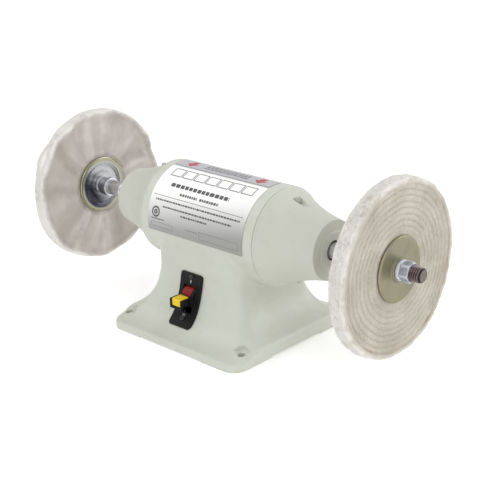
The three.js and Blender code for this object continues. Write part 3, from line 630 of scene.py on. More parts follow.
def soft_least(a, b, blend):
    """The smaller of two distances, with a rounded hollow where they cross."""
    share = np.clip(0.5 + 0.5 * (b - a) / blend, 0, 1)
    return b + (a - b) * share - blend * share * (1 - share)


def soft_most(a, b, blend):
    return -soft_least(-a, -b, blend)


def curve(start, pull_a, pull_b, end, steps=24):
    """Points on a cubic curve."""
    t = np.linspace(0, 1, steps)[:, None]
    start, pull_a, pull_b, end = (np.array(point, float) for point in (start, pull_a, pull_b, end))
    left = 1 - t
    return left ** 3 * start + 3 * t * left ** 2 * pull_a + 3 * t * t * left * pull_b + t ** 3 * end


def flare(rim_reach, rim_height, pulls, waist):
    """How far the pedestal reaches at each height: an upright rim, a rounded edge, and a hollow sweep."""
    sweep = curve((rim_reach - 1.4, rim_height), *pulls, (waist, WAIST_HEIGHT))
    edge = eased([(rim_reach, -5, 0), (rim_reach, rim_height, 3.5), (*sweep[2], 0)], 6, closed=False)
    reach, height = np.concatenate([edge, sweep[3:], [(waist, 300)]]).T
    return height, reach


SIDE_HEIGHT, SIDE_REACH = flare(BASE_HALF_WIDTH, SIDE_RIM, [(105, 40), (91, 58)], WAIST_HALF_WIDTH)
FRONT_HEIGHT, FRONT_REACH = flare(BASE_HALF_DEPTH, FRONT_RIM, [(95, 22), (80, 38)], WAIST_HALF_DEPTH)


def half_width(z):
    rise = np.maximum(0, (z - 122) / 28)
    return np.interp(z, SIDE_HEIGHT, SIDE_REACH) - 22 * rise * rise


def half_depth(z):
    return np.interp(z, FRONT_HEIGHT, FRONT_REACH)


def edge_corner(z):
    """Rounding of the pedestal's upright edges: broad at the foot, tighter at the waist."""
    return np.interp(z, (SIDE_RIM, WAIST_HEIGHT), (BASE_CORNER, WAIST_CORNER))


def rounded_column(x, y, reach_x, reach_y, corner):
    """Distance from an upright column with a rounded rectangular section."""
    past_x, past_y = np.abs(x) - (reach_x - corner), np.abs(y) - (reach_y - corner)
    outside = np.hypot(np.maximum(past_x, 0), np.maximum(past_y, 0))
    return outside + np.minimum(np.maximum(past_x, past_y), 0) - corner


def box_distance(x, y, z, low, high, corner):
    """Distance from a block between two corners, with rounded edges."""
    past = [np.abs(value - (a + b) / 2) - ((b - a) / 2 - corner)
            for value, a, b in zip((x, y, z), low, high)]
    outside = np.sqrt(sum(np.maximum(value, 0) ** 2 for value in past))
    return outside + np.minimum(np.maximum(np.maximum(past[0], past[1]), past[2]), 0) - corner


def housing_distance(x, y, z):
    """Distance from the surface of the housing casting: below zero inside the metal. Each soft_most() and
    soft_least() ends with the size of its rounding."""
    around = np.hypot(y, z - AXIS)
    shell = soft_most(around - SHELL_RADIUS, np.abs(x) - SHELL_HALF_LENGTH, 2.5)
    pedestal = rounded_column(x, y, half_width(z), half_depth(z), edge_corner(z))
    pedestal = soft_most(pedestal, z - PEDESTAL_TOP, 6)
    pedestal = soft_most(pedestal, -z, 1.2)
    solid = np.maximum(soft_least(shell, pedestal, 9), -z)
    inside_x = np.minimum(half_width(z) - PEDESTAL_WALL, CAVITY_HALF_WIDTH)
    inside_y = np.minimum(half_depth(z) - PEDESTAL_WALL, CAVITY_HALF_DEPTH)
    cavity = rounded_column(x, y, inside_x, inside_y, BASE_CORNER - PEDESTAL_WALL)
    cavity = soft_most(cavity, SHELL_RADIUS - around, 3)
    cavity = soft_most(cavity, z - CAVITY_TOP, 3)
    mouth = rounded_column(x, y, MOUTH_HALF_WIDTH, MOUTH_HALF_DEPTH, BASE_CORNER)
    mouth = soft_most(mouth, z - MOUTH_DEPTH, 0.8)
    wide_relief = soft_most(np.abs(x) - RELIEF_HALF_WIDTH, z - PAD_RELIEF, 1.0)
    deep_relief = soft_most(np.abs(y) - RELIEF_HALF_DEPTH, z - PAD_RELIEF, 1.0)
    window = box_distance(x, y, z, (PLATE_X - 18, -100, 33), (PLATE_X + 18, -50, 91), 3)
    cord_entry = soft_most(np.hypot(x - GLAND_X, z - GLAND_Z) - GLAND_HOLE_RADIUS, 55 - y, 1)
    from_foot_hole = np.hypot(np.abs(x) - FOOT_HOLE_X, np.abs(y) - FOOT_HOLE_Y)
    spot_face = soft_most(from_foot_hole - SPOT_FACE_RADIUS, SPOT_FACE_HEIGHT - z, 2.5)
    cuts = ((around - SHELL_BORE, 0.8), (cavity, 2), (mouth, 0.8), (wide_relief, 1.0), (deep_relief, 1.0),
            (window, 1), (cord_entry, 1), (spot_face, 2.5), (from_foot_hole - FOOT_HOLE_RADIUS, 1.6))
    for cut, rounding in cuts:
        solid = soft_most(solid, -cut, rounding)
    return solid


def surface_net(distance, grids):
    """A mesh of quads on the zero surface of a distance function, sampled on a grid in X, Y and Z."""
    value = distance(*np.meshgrid(*grids, indexing="ij", sparse=True))
    shape = np.array(value.shape)
    stride = np.array([shape[1] * shape[2], shape[2], 1])
    crossings, cells = [], []
    quads = []
    for axis in range(3):
        unit = np.eye(3, dtype=int)[axis]
        near = np.take(value, range(shape[axis] - 1), axis)
        far = np.take(value, range(1, shape[axis]), axis)
        index = np.argwhere((near < 0) != (far < 0))
        a, b = near[tuple(index.T)], far[tuple(index.T)]
        point = np.stack([grids[k][index[:, k]] for k in range(3)], axis=1).astype(float)
        step = grids[axis][index[:, axis] + 1] - grids[axis][index[:, axis]]
        point[:, axis] += a / (a - b) * step
        first, second = np.eye(3, dtype=int)[(axis + 1) % 3], np.eye(3, dtype=int)[(axis + 2) % 3]
        around = [index, index - first, index - first - second, index - second]
        quad = np.stack([ring @ stride for ring in around], axis=1)
        quad[a > 0] = quad[a > 0][:, ::-1]
        quads.append(quad)
        cells.append(quad.ravel())
        crossings.append(np.repeat(point, 4, axis=0))
    used, where = np.unique(np.concatenate(cells), return_inverse=True)
    weight = np.bincount(where)
    crossing = np.concatenate(crossings)
    points = np.stack([np.bincount(where, crossing[:, k]) / weight for k in range(3)], axis=1)
    faces = np.searchsorted(used, np.concatenate(quads))
    for _ in range(3):
        points = nearer(distance, points)
    return points, faces.tolist()


def nearer(distance, points, probe=0.1, limit=0.8):
    """Moves points a step towards the zero surface of a distance function."""
    value = distance(*points.T)
    beyond = [distance(*(points + probe * unit).T) for unit in np.eye(3)]
    slope = np.stack([(ahead - value) / probe for ahead in beyond], axis=1)
    step = -value[:, None] * slope / np.maximum((slope ** 2).sum(axis=1), 0.05)[:, None]
    length = np.linalg.norm(step, axis=1, keepdims=True)
    return points + step * np.minimum(1, limit / np.maximum(length, 1e-9))


def graded(*stretches):
    """Grid steps that change along the way, from (start, end, step) stretches."""
    runs = [np.linspace(a, b, max(2, round((b - a) / step) + 1)) for a, b, step in stretches]
    return np.unique(np.round(np.concatenate(runs), 4))


def both_ways(steps):
    """The same steps on both sides of zero."""
    return np.concatenate([-steps[:0:-1], steps])


def motor_housing():
    across = graded((0, 82, 2.2), (82, 112, 2.0), (112, 117, 0.6), (117, 130, 2.0), (130, 138, 1.6))
    depth = graded((0, 128, 2.2), (128, 138, 1.6))
    height = graded((-2, 10, 1.2), (10, 26, 1.6), (26, 246, 2.2))
    shape = surface_net(housing_distance, (both_ways(across), both_ways(depth), height))
    add_piece("housing_casting", shape, "motor_body", "body_paint", ["motor_housing"], sharp_angle=60)


def bell_outline():
    """The bell's outside from its shoulder to its face, as (x, radius)."""
    t = np.linspace(0, 1, 44)[:, None]
    start, pull = np.array([BELL_SHOULDER, 73.2]), np.array([155, 52])
    end = np.array([BELL_FACE, BELL_FACE_RADIUS])
    return (1 - t) ** 2 * start + 2 * t * (1 - t) * pull + t * t * end


def bell_pockets(along, radius, angle):
    """Scoops in the bell's outside that leave room for the through bolts' heads at top and bottom."""
    for middle in (0, math.pi):
        aside = np.abs((angle - middle + math.pi) % TURN - math.pi) * BOLT_ORBIT
        wall = np.sqrt(np.maximum(POCKET_RADIUS ** 2 - aside ** 2, 0))
        floor = BOLT_ORBIT - wall + 3.5 * np.clip(aside / POCKET_RADIUS, 0, 1) ** 6
        floor = np.where(aside < POCKET_RADIUS, floor, radius + 10)
        open_part = (along > BOLT_SEAT) & (radius > 50) & (along < 180)
        scooped = soft_least(radius, floor, 2.2)
        radius = np.where(open_part, scooped, radius)
    return radius


def end_bell(side):
    outside = bell_outline()
    before = outside[outside[:, 0] < BOLT_SEAT - 0.6]
    after = outside[outside[:, 0] > BOLT_SEAT + 0.8]
    seat = [(x, np.interp(x, outside[:, 0], outside[:, 1]))
            for x in (BOLT_SEAT - 0.4, BOLT_SEAT, BOLT_SEAT + 0.3)]
    shoulder = eased([(BELL_START, 61, 0), (BELL_START, 66, 1), (115.3, 66, 0.2), (115.3, 74.2, 1.2),
                      (118.4, 74.0, 1.6), (118.8, 73.0, 0)], 3, closed=False)
    face = eased([(201, 44.7, 0), (BELL_FACE, BELL_FACE_RADIUS, 1.6), (BELL_FACE, 28.4, 0.8),
                  (BELL_LIP, 27.4, 0.9), (BELL_LIP, BELL_HOLE, 0.6), (BELL_HUB_BACK, BELL_HOLE, 0.5),
                  (BELL_HUB_BACK, 40, 3), (160, 44, 3), (133, 49.5, 3), (BELL_SHOULDER, 61, 2)],
                 4, closed=False)
    profile = [*shoulder, *before[1:], *seat, *after[:-2], *face]
    shape = turned(profile, 360, bell_pockets)
    word = side_word(side)
    add_piece(f"{word}_bell_casting", on_side(shape, side), "motor_body", "body_paint",
              [f"{word}_end_bell"], sharp_angle=50)


def through_bolts():
    """Hexagon heads on the right and nuts on the left, deep in the bells' pockets."""
    head_profile = [(BOLT_SEAT + 0.4, 2)]
    head_profile += [(x, 10) for x in (135.4, 136, 137, 139, 140.4, 141)]
    head_profile.append((141, 2))
    shank_profile = eased([(-142, 0.4, 0), (-142, 3, 0.6), (BOLT_SEAT + 1, 3, 0.2),
                           (BOLT_SEAT + 1, 0.4, 0)], 3, False)
    for word, up in (("top", 1), ("bottom", -1)):
        place = {"origin": (0, 0, AXIS + up * BOLT_ORBIT)}
        head = turned(head_profile, 48, hexagonal(8.8, 4.2, 130, 141), closed=False, **place)
        shank = turned(shank_profile, 24, closed=False, **place)
        add_piece(f"{word}_bolt", joined([head, shank]), "motor_body", "black_steel",
                  [f"{word}_through_bolt"], [PHOSPHATED])
        nut = mirrored(hex_nut(BOLT_SEAT + 0.3, BOLT_SEAT + 5.3, 10, 3.3, **place))
        add_piece(f"{word}_bolt_nut", nut, "motor_body", "black_steel", [f"{word}_through_bolt_nut"],
                  [PHOSPHATED])


# ---- Spindle and flanges ----

def threaded(along, radius, angle):
    """A helical thread on both ends, left-handed on the left."""
    distance = np.abs(along)
    phase = (distance / THREAD_PITCH - angle / TURN) % 1
    groove = np.clip(np.abs(phase - 0.5) * 2.5 - 0.15, 0, 1)
    run_in = np.clip((distance - THREAD_START) / 2, 0, 1)
    run_out = np.clip((SPINDLE_END - 1 - distance) / 2.5, 0, 1)
    return radius - THREAD_DEPTH * groove * (run_in * run_out)


def spindle():
    tip = eased([(SPINDLE_END, 2, 0), (SPINDLE_END, 8.6, 0.8), (SPINDLE_END - 2.4, THREAD_RADIUS, 1.6),
                 (SPINDLE_END - 4, THREAD_RADIUS, 0)], 4, closed=False)
    turns = np.arange(SPINDLE_END - 4.2, THREAD_START + 0.3, -THREAD_PITCH / 12)
    thread = [(x, THREAD_RADIUS) for x in turns]
    shaft = eased([(THREAD_START, THREAD_RADIUS, 0), (THREAD_START, SHAFT_RADIUS, 0.3),
                   (241, SHAFT_RADIUS, 0.5), (239.5, 11.4, 0.8), (214, 11.4, 0.8),
                   (212.5, SHAFT_RADIUS, 0.5), (62, SHAFT_RADIUS, 0.3), (62, 14, 0.5), (0, 14, 0)],
                  3, closed=False)
    half = np.array([*tip, *thread, *shaft])
    profile = np.concatenate([half, half[-2::-1] * [-1, 1]])
    shape = turned(profile, 48, threaded, closed=False)

    def finish_at(middles):
        """Ground steel between the threads, the threads, and the two ends."""
        distance = np.abs(middles[:, 0])
        return (distance > THREAD_START - 0.2).astype(int) + (distance > SPINDLE_END - 0.1)

    add_piece("spindle_bar", shape, "spindle_set", "ground_steel", ["spindle"],
              [SLOT_FINISH["ground_steel"], SHADED_GROOVE_THREAD, WORN_END], which=finish_at)


def on_spindle(side, name, slot, node_name, outline, steps=144, finishes=None, body="spindle_set"):
    """Adds a ring round the spindle from the corners of its section."""
    word = side_word(side)
    shape = on_side(turned(eased(outline), steps), side)
    add_piece(f"{word}_{name}", shape, body, slot, [f"{word}_{node_name}"], finishes)


def spindle_dress(side):
    """The collar, flanges, washer and nut on one end of the spindle, and the bell's lip seal."""
    on_spindle(side, "collar", "ground_steel", "spindle_collar", [
        (COLLAR_START, 12.8, 0), (COLLAR_START, COLLAR_RADIUS, 1.6), (COLLAR_END - 5.2, COLLAR_RADIUS, 0.3),
        (COLLAR_END - 4.6, 14.9, 0.3), (COLLAR_END - 4.0, COLLAR_RADIUS, 0.3),
        (COLLAR_END, COLLAR_RADIUS, 0.5), (COLLAR_END, 12.8, 0)], 96)
    back, face = INNER_FLANGE_BACK, INNER_FLANGE_FACE
    on_spindle(side, "inner_disc", "yellow_zinc", "inner_flange", [
        (face, 36, 1), (face, FLANGE_RADIUS - 1.6, 1.5), (face - 1.8, FLANGE_RADIUS, 1.6),
        (face - 4.2, FLANGE_RADIUS - 0.2, 2), (face - 5.4, FLANGE_RADIUS - 2.6, 1.8),
        (back + 0.4, 37.0, 1.8), (face - 1.7, 33.0, 3.5), (face - 1.5, 25.5, 4), (face - 3.1, 19.5, 2.5),
        (face - 3.2, SLEEVE_BORE, 0.3), (face, SLEEVE_BORE, 0.3)], finishes=[PAINTED_REFLECTION_DISH])
    on_spindle(side, "washer", "bright_zinc", "spindle_washer", [
        (WASHER_START, SLEEVE_BORE, 0.3), (WASHER_START, WASHER_RADIUS, 0.6),
        (WASHER_END, WASHER_RADIUS, 1.2), (WASHER_END, SLEEVE_BORE, 0.3)], 96)
    start, boss_end = OUTER_FLANGE_FACE, WASHER_START - 0.3
    on_spindle(side, "outer_disc", "yellow_zinc", "outer_flange", [
        (start, 36, 1), (start, FLANGE_RADIUS - 1.4, 1.2), (start + 1.4, FLANGE_RADIUS, 1.4),
        (start + 3.2, FLANGE_RADIUS - 0.4, 1.8), (start + 4.4, FLANGE_RADIUS - 3, 1.8),
        (start + 2.2, 34, 8), (start + 1.6, 22.4, 3.0), (start + 2.2, 17.8, 0.8), (boss_end, 17.0, 1.2),
        (boss_end, SLEEVE_BORE, 0.2), (start, SLEEVE_BORE, 0.2)])
    nut = hex_nut(NUT_START, NUT_END, NUT_ACROSS_FLATS, SLEEVE_BORE, NUT_TURN)
    word = side_word(side)
    add_piece(f"{word}_nut", on_side(nut, side), "spindle_set", "bright_zinc", [f"{word}_spindle_nut"])
    on_spindle(side, "lip_seal", "seal_rubber", "shaft_seal", [
        (196, 13, 0), (196, 14.6, 0.2), (201, 14.6, 0.3), (201, 13.9, 0.2), (199.6, 13.7, 0.4),
        (199.9, 13, 0.2)], 96, body="motor_body")


# ---- Buffing wheels ----

def smooth_step(value, low, high):
    t = np.clip((value - low) / (high - low), 0, 1)
    return t * t * (3 - 2 * t)


def waves(chance, counts, angle, twist=0.0):
    """A smooth random swell round a wheel, made of whole waves."""
    total = 0
    for count in counts:
        start, size = chance.uniform(0, TURN), chance.uniform(0.5, 1)
        total = total + size * np.cos(count * angle + start + twist * count)
    return total / math.sqrt(len(counts))


FIRST_ROW = 59
ROW_PITCH = 8.4
ROW_COUNT = 8
STITCH_PITCH = 4.8
PLY_THICKNESS = 1.7
WHEEL_STEPS = 432
RIM_REACH = 21  # how many rings to each side of the rim's middle have frayed ends
SEWN_SEED = 11
LOOSE_SEED = 23


def wheel_section():
    """Radius and half thickness of a wheel's section, from the bore out to the middle of the rim."""
    radius = np.concatenate([[11.5, 30, 46, 48], np.arange(50, 118, 1.0), np.linspace(118, 121.5, 5)])
    half = HUB_HALF_THICKNESS + 1.1 * smooth_step(radius, 48, 58) + 3.6 * smooth_step(radius, 112, 121)
    turn = np.linspace(0, TURN / 4, 7)[1:]
    radius = np.concatenate([radius, 121.5 + 4.8 * np.sin(turn)])
    half = np.concatenate([half, 8.1 + 4.2 * np.cos(turn)])
    band = np.linspace(8.1, 0, 14)[1:]
    return np.concatenate([radius, np.full(len(band), WHEEL_RADIUS)]), np.concatenate([half, band])


def row_wander(chance, angle):
    """How far a row of stitches strays from a true circle."""
    return 0.7 * waves(chance, (3, 5, 9, 14), angle) + 0.3 * waves(chance, (23, 31, 44, 57), angle)


def sewn_layers(chance, x, r, facing, angle):
    """Quilts a wheel's faces between its rows of stitches, and gives the painted shade along the rows."""
    inward = smooth_step(r, 48, 56)
    phase = (r - FIRST_ROW - row_wander(chance, angle)) / ROW_PITCH
    window = smooth_step(r, 50, 56) * (1 - smooth_step(r, 116.5, 118))
    between = np.abs(np.sin(math.pi * phase))
    puff = 2.0 * between ** 0.7 - 1.2
    lumps = waves(chance, (37, 43, 51, 61), angle, 0.11 * r)
    # Painted shade in the creases along the rows of stitches
    crease_shade = window * (1 - smooth_step(between, 0.05, 0.8)) * (0.8 + 0.3 * lumps)
    x = x + facing * window * puff * (1 + 0.25 * waves(chance, (17, 23, 31, 40), angle, 0.02 * r))
    x = x + facing * window * between * 0.7 * lumps
    x = x + facing * inward * 0.35 * waves(chance, (5, 8, 13, 21), angle, 0.01 * r)
    x = x + smooth_step(r, 60, 126) * 1.0 * waves(chance, (2, 3), angle)
    r = r + smooth_step(r, 116, 126) * 0.4 * waves(chance, (9, 14, 22, 31), angle)
    x = x + facing * smooth_step(r, 112, 120) * 0.5 * waves(chance, (13, 19, 29, 41), angle)
    return x, r, crease_shade


def loose_layers(chance, x, r, facing, angle):
    """Pleats a wheel's faces in folds that fan out from the flanges, and gives the painted shade in their
    hollows.
    """
    grow = smooth_step(r, 50, 128) ** 1.2
    folds = waves(chance, (7, 9, 12, 15), angle, 0.004 * (r - 80))
    pleats = np.sign(folds) * np.abs(folds) ** 1.5
    # Painted shade in the hollows of the folds
    crease_shade = smooth_step(r, 49, 62) * smooth_step(-folds, -0.7, 1.3)
    x = x + facing * grow * 3.0 * pleats
    x = x + grow * 1.3 * waves(chance, (3, 4, 5), angle)
    x = x + facing * 0.7 * smooth_step(r, 51, 53) * (1 - smooth_step(r, 53, 57))
    r = r + smooth_step(r, 112, 126) * 0.55 * waves(chance, (5, 7, 11), angle)
    return x, r, crease_shade


def wheel_surface(side, sewn):
    """Rings of points from one face's bore, over the rim, to the other face's bore, and the painted
    crease shade of each point, from 0 to 1."""
    chance = np.random.default_rng(SEWN_SEED if sewn else LOOSE_SEED)
    radius, half = wheel_section()
    face = np.concatenate([half, -half[-2::-1]])[:, None]
    radius = np.concatenate([radius, radius[-2::-1]])[:, None]
    angle = np.linspace(0, TURN, WHEEL_STEPS, endpoint=False)[None, :]
    facing = np.sign(face)
    layers = sewn_layers if sewn else loose_layers
    x, r, crease_shade = layers(chance, face + 0 * angle, radius + 0 * angle, facing, angle)
    rim = smooth_step(radius, 118, 125)
    lean = 0.5 * waves(chance, (6, 11, 19, 29), angle)
    phase = (x + lean) / PLY_THICKNESS
    groove = np.abs((phase % 1) - 0.5) * 2
    ragged = (0.75 if sewn else 0.35) * waves(chance, (37, 53, 71, 89, 113), angle, 0.8 * x)
    r = r - rim * (1.0 * groove ** 2 + 0.25 + np.abs(ragged))
    # Painted shade between the plies at the rim, where the faces' crease shade thins out
    crease_shade = np.clip(crease_shade * (1 - 0.8 * rim) + rim * 0.4 * groove ** 3, 0, 1)
    x = x + facing * rim * 0.25 * waves(chance, (41, 59, 83), angle, 0.3 * r)
    rings = np.stack([side * (WHEEL_CENTRE + x), -r * np.sin(angle), AXIS + r * np.cos(angle)], axis=-1)
    return rings, crease_shade, chance


def outward(point):
    """The direction from the spindle's centre line to a point."""
    out = np.array([0, point[1], point[2] - AXIS])
    return out / np.linalg.norm(out)


def stitch(ring, wander, row_radius, centre, spread, sideways):
    """One raised thread, pointed at both ends, over a place on a ring; both are given in steps round it."""
    loops = []
    for share, thick, lift in ((-1, 0.12, -0.1), (0, 0.42, 0.28), (1, 0.12, -0.1)):
        place = centre + share * spread
        i, part = int(place) % WHEEL_STEPS, place % 1
        after = (i + 1) % WHEEL_STEPS
        here = ring[i] * (1 - part) + ring[after] * part
        out = outward(here)
        strayed = wander[i] * (1 - part) + wander[after] * part
        reach = row_radius + strayed - np.hypot(here[1], here[2] - AXIS)
        middle = here + out * reach + sideways * lift
        loops.append([middle + out * thick, middle + sideways * thick * 0.8,
                      middle - out * thick, middle - sideways * thick * 0.8])
    return skin(np.array(loops))


def stitches(side, rings):
    """Short raised threads along every row, on both faces."""
    chance = np.random.default_rng(SEWN_SEED)
    wander = row_wander(chance, np.linspace(0, TURN, WHEEL_STEPS, endpoint=False))
    radius, _ = wheel_section()
    threads = []
    for row in range(ROW_COUNT):
        row_radius = FIRST_ROW + ROW_PITCH * row
        nearest = int(np.argmin(np.abs(radius - row_radius)))
        count = int(TURN * row_radius / STITCH_PITCH)
        for facing, index in ((1, nearest), (-1, -1 - nearest)):
            sideways = np.array([side * facing, 0, 0])
            for k in range(count):
                centre, spread = (k + 0.5) / count * WHEEL_STEPS, 0.33 / count * WHEEL_STEPS
                threads.append(stitch(rings[index], wander, row_radius, centre, spread, sideways))
    return joined(threads)


def frayed_ends(side, rings, chance, count, longest):
    """Loose cotton fibres that stand out of the rim."""
    half = rings.shape[0] // 2
    rim = [i for i in range(rings.shape[0]) if abs(i - half) < RIM_REACH]
    fibres = []
    for _ in range(count):
        i, j = rim[chance.integers(len(rim))], chance.integers(rings.shape[1])
        foot = rings[i, j]
        lean = (i - half) / RIM_REACH
        direction = outward(foot) + np.array([-side * lean * 0.8, 0, 0]) + chance.normal(0, 0.45, 3)
        direction = direction / np.linalg.norm(direction)
        across = np.cross(direction, chance.normal(0, 1, 3))
        across = across / np.linalg.norm(across)
        other = np.cross(direction, across)
        length, thick = chance.uniform(0.8, longest), chance.uniform(0.12, 0.24)
        bend = chance.normal(0, 0.25, 3)
        loops = []
        for share in (0.0, 0.5, 1.0):
            point = foot + direction * (length * share - 0.5) + bend * share * share * length
            width = thick * (1 - 0.75 * share)
            loops.append([point + width * (math.cos(a) * across + math.sin(a) * other)
                          for a in (0, 2.1, 4.2)])
        fibres.append(skin(np.array(loops)))
    return joined(fibres)


def buffing_wheel(side, sewn):
    word = side_word(side)
    rings, crease_shade, chance = wheel_surface(side, sewn)
    cloth = [SLOT_FINISH["stitched_cotton"] if sewn else LOOSE_COTTON]
    wheel = add_piece(f"{word}_cotton_wheel", skin(rings, closed=True), "spindle_set", "stitched_cotton",
                      [f"{word}_buffing_wheel"], cloth, sharp_angle=180)
    # The painted crease shade goes on the wheel as a point attribute
    depth = wheel.data.attributes.new("crease_shade", "FLOAT", "POINT")
    depth.data.foreach_set("value", crease_shade.ravel().astype(np.float32))
    if sewn:
        add_piece(f"{word}_wheel_stitches", stitches(side, rings), "spindle_set", "stitched_cotton",
                  finishes=[THREAD_COTTON], sharp_angle=180)
    fray = frayed_ends(side, rings, chance, 5200 if sewn else 3000, 3.0 if sewn else 1.8)
    add_piece(f"{word}_wheel_fray", fray, "spindle_set", "stitched_cotton", finishes=cloth, sharp_angle=180)


# ---- Switch ----

def on_front(u, v, height):
    """A point on the pedestal's hollow front: across, up, and out from the surface."""
    slope = (half_depth(v + 1) - half_depth(v - 1)) / 2
    length = np.sqrt(1 + slope ** 2)
    y = -half_depth(v) - height / length
    z = v - height * slope / length
    return np.stack([u + 0 * v, y, z], axis=-1)


def ring_on(place, u, v, outer, inner, low, high, steps):
    """A thin flat ring on a curved surface; place(u, v, height) gives its points."""
    angle = np.linspace(0, TURN, steps, endpoint=False)
    loop = [(outer, low), (outer, high), (inner, high), (inner, low)]
    return skin([place(u + np.cos(angle) * r, v + np.sin(angle) * r, h) for r, h in loop], closed=True)


def switch_plate():
    middle = (PLATE_LOW + PLATE_HIGH) / 2
    half_height = (PLATE_HIGH - PLATE_LOW) / 2 - 0.6
    opening_lift = np.array([0, 61.5 - middle])

    def outer(inset):
        return rounded_outline(23 - inset, half_height - inset, 5 - inset * 0.6, 176)

    def inner(outset):
        return rounded_outline(13 + outset, 19.5 + outset, 1.6 + outset * 0.6, 176) + opening_lift

    edge = [(1.2, 0.35), (0.2, 0.5), (0, 1.6), (0.25, 2.4), (0.8, 2.85), (1.6, 2.95)]
    stages = [(outer(inset), height) for inset, height in edge]
    for share in (0.25, 0.5, 0.75, 1):
        stages.append((outer(1.6) * (1 - share) + inner(2.6) * share, 2.95))
    frame_edge = [(2.4, 3.9), (1.9, 4.3), (0.5, 4.3), (0.1, 3.9), (0, 2.4), (0, 0.35)]
    stages += [(inner(outset), height) for outset, height in frame_edge]
    rings = [on_front(PLATE_X + ring[:, 0], middle + ring[:, 1], height) for ring, height in stages]
    add_piece("switch_cover_plate", skin(rings, closed=True), "motor_body", "black_plastic",
              ["switch_plate"], sharp_angle=50)
    on_mark = plate_on(on_front, PLATE_X - 0.8, PLATE_X + 0.8, 84.6, 89.6, 0.4, 3.0, 3.15, 4, 4)
    off_mark = ring_on(on_front, PLATE_X, 37.6, 2.3, 1.5, 2.9, 3.12, 40)
    add_piece("switch_marks", joined([on_mark, off_mark]), "motor_body", "black_plastic",
              finishes=[LIGHT_INK])


def plate_screw(word, z):
    """A pan-head screw with a cross recess, square to the switch plate."""
    foot, above = (on_front(np.array(PLATE_X), np.array(z), height) for height in (3.0, 4.0))
    radius = 3.8
    profile = eased([(-1.5, 0.3, 0), (-1.5, 1.9, 0.1), (0, 1.9, 0.1), (0, radius, 0.4), (1.2, radius, 1.0),
                     (2.0, radius * 0.55, 1.0), (2.0, 0.3, 0)], 4, closed=False)
    head = turned(profile, 48, closed=False, origin=foot, axis=above - foot)
    out = Vector(above - foot).normalized()
    up = (Vector((0, 0, 1)) - out * out.z).normalized()
    aside = out.cross(up)
    slots = []
    for long_way, short_way in ((up, aside), (aside, up)):
        loops = []
        for height in (1.92, 2.06):
            centre = Vector(foot) + out * height
            loops.append([centre + long_way * a * radius * 0.5 + short_way * b * 0.45
                          for a, b in ((1, 1), (-1, 1), (-1, -1), (1, -1))])
        slots.append(skin(np.array(loops)))
    points, faces = joined([head, *slots])
    piece = add_piece(f"{word}_switch_screw", (points, faces), "motor_body", "black_steel",
                      [f"{word}_plate_screw"], [SLOT_FINISH["black_steel"], SLOT_FINISH["black_plastic"]])
    index = np.zeros(len(faces), np.int32)
    index[len(head[1]):] = 1
    piece.data.polygons.foreach_set("material_index", index)


def drum_arc(radius, angles):
    """Points on an arc round the rocker's pivot, as (y, z), in degrees up from straight forwards."""
    return [(PIVOT_Y - radius * math.cos(a), PIVOT_Z + radius * math.sin(a)) for a in np.radians(angles)]


def rocker():
    """The rocker's drum with its open tray, and the red face above the tray."""
    x0, x1 = PLATE_X - 12, PLATE_X + 12
    drum = drum_arc(18.4, np.linspace(-78, 78, 40))
    drum += [(PIVOT_Y + 2, PIVOT_Z + 14), (PIVOT_Y + 3, PIVOT_Z), (PIVOT_Y + 2, PIVOT_Z - 14)]
    low, floor, high = PIVOT_Z - 6, PIVOT_Z - 3.4, PIVOT_Z + 7.5
    left, right = PLATE_X - 11, PLATE_X + 11
    blocks = [
        bevelled_block((left, PIVOT_Y - 21.6, low), (right, PIVOT_Y - 8, high), 0.7),
        bevelled_block((left, PADDLE_BACK - 1, low), (right, PIVOT_Y - 20, floor), 0.7),
        bevelled_block((PADDLE_LEFT, LEVER_FRONT, PADDLE_BOTTOM), (right, PADDLE_BACK, floor), 1.1),
        bevelled_block((PADDLE_LEFT, LEVER_FRONT, PADDLE_BOTTOM), (KEY_LEFT - 0.3, PADDLE_BACK, high), 1.1),
        bevelled_block((KEY_RIGHT + 0.3, LEVER_FRONT, PADDLE_BOTTOM), (right, PADDLE_BACK, high), 1.1),
    ]
    pivot = turned(eased([(-15, 0.4, 0), (-15, 2, 0.3), (15, 2, 0.3), (15, 0.4, 0)], 3, False), 32,
                   closed=False, origin=(PLATE_X, PIVOT_Y, PIVOT_Z))
    add_piece("rocker_lever", joined([prism(drum, x0, x1, 0.8), *blocks, pivot]), "rocker", "black_plastic",
              ["switch_lever"], sharp_angle=50)
    arc = np.linspace(21, 74, 24)
    shield = drum_arc(19.0, arc) + drum_arc(17.5, arc[::-1])
    add_piece("rocker_red_face", prism(shield, x0 + 0.9, x1 - 4.6, 0.25), "rocker", "black_plastic",
              finishes=[RED_PLASTIC], sharp_angle=50)


def safety_key():
    low, high = corners_of("safety_key")
    body = bevelled_block(low, high, 0.9)
    ribs = [bevelled_block((low[0] + 2.5 + 3.7 * k, low[1] + 3.2, high[2] - 0.4),
                           (low[0] + 3.8 + 3.7 * k, high[1] - 4, high[2] + 0.25), 0.25) for k in range(4)]
    add_piece("yellow_key", joined([body, *ribs]), "key", "yellow_plastic", ["safety_key"], sharp_angle=50)


def ribbed(along, radius, angle):
    """A shaped() function: fine ribs round the gland's dome."""
    return np.where((radius > 9) & (along < 96), radius + 0.35 * np.abs(np.cos(9 * angle)) - 0.35, radius)


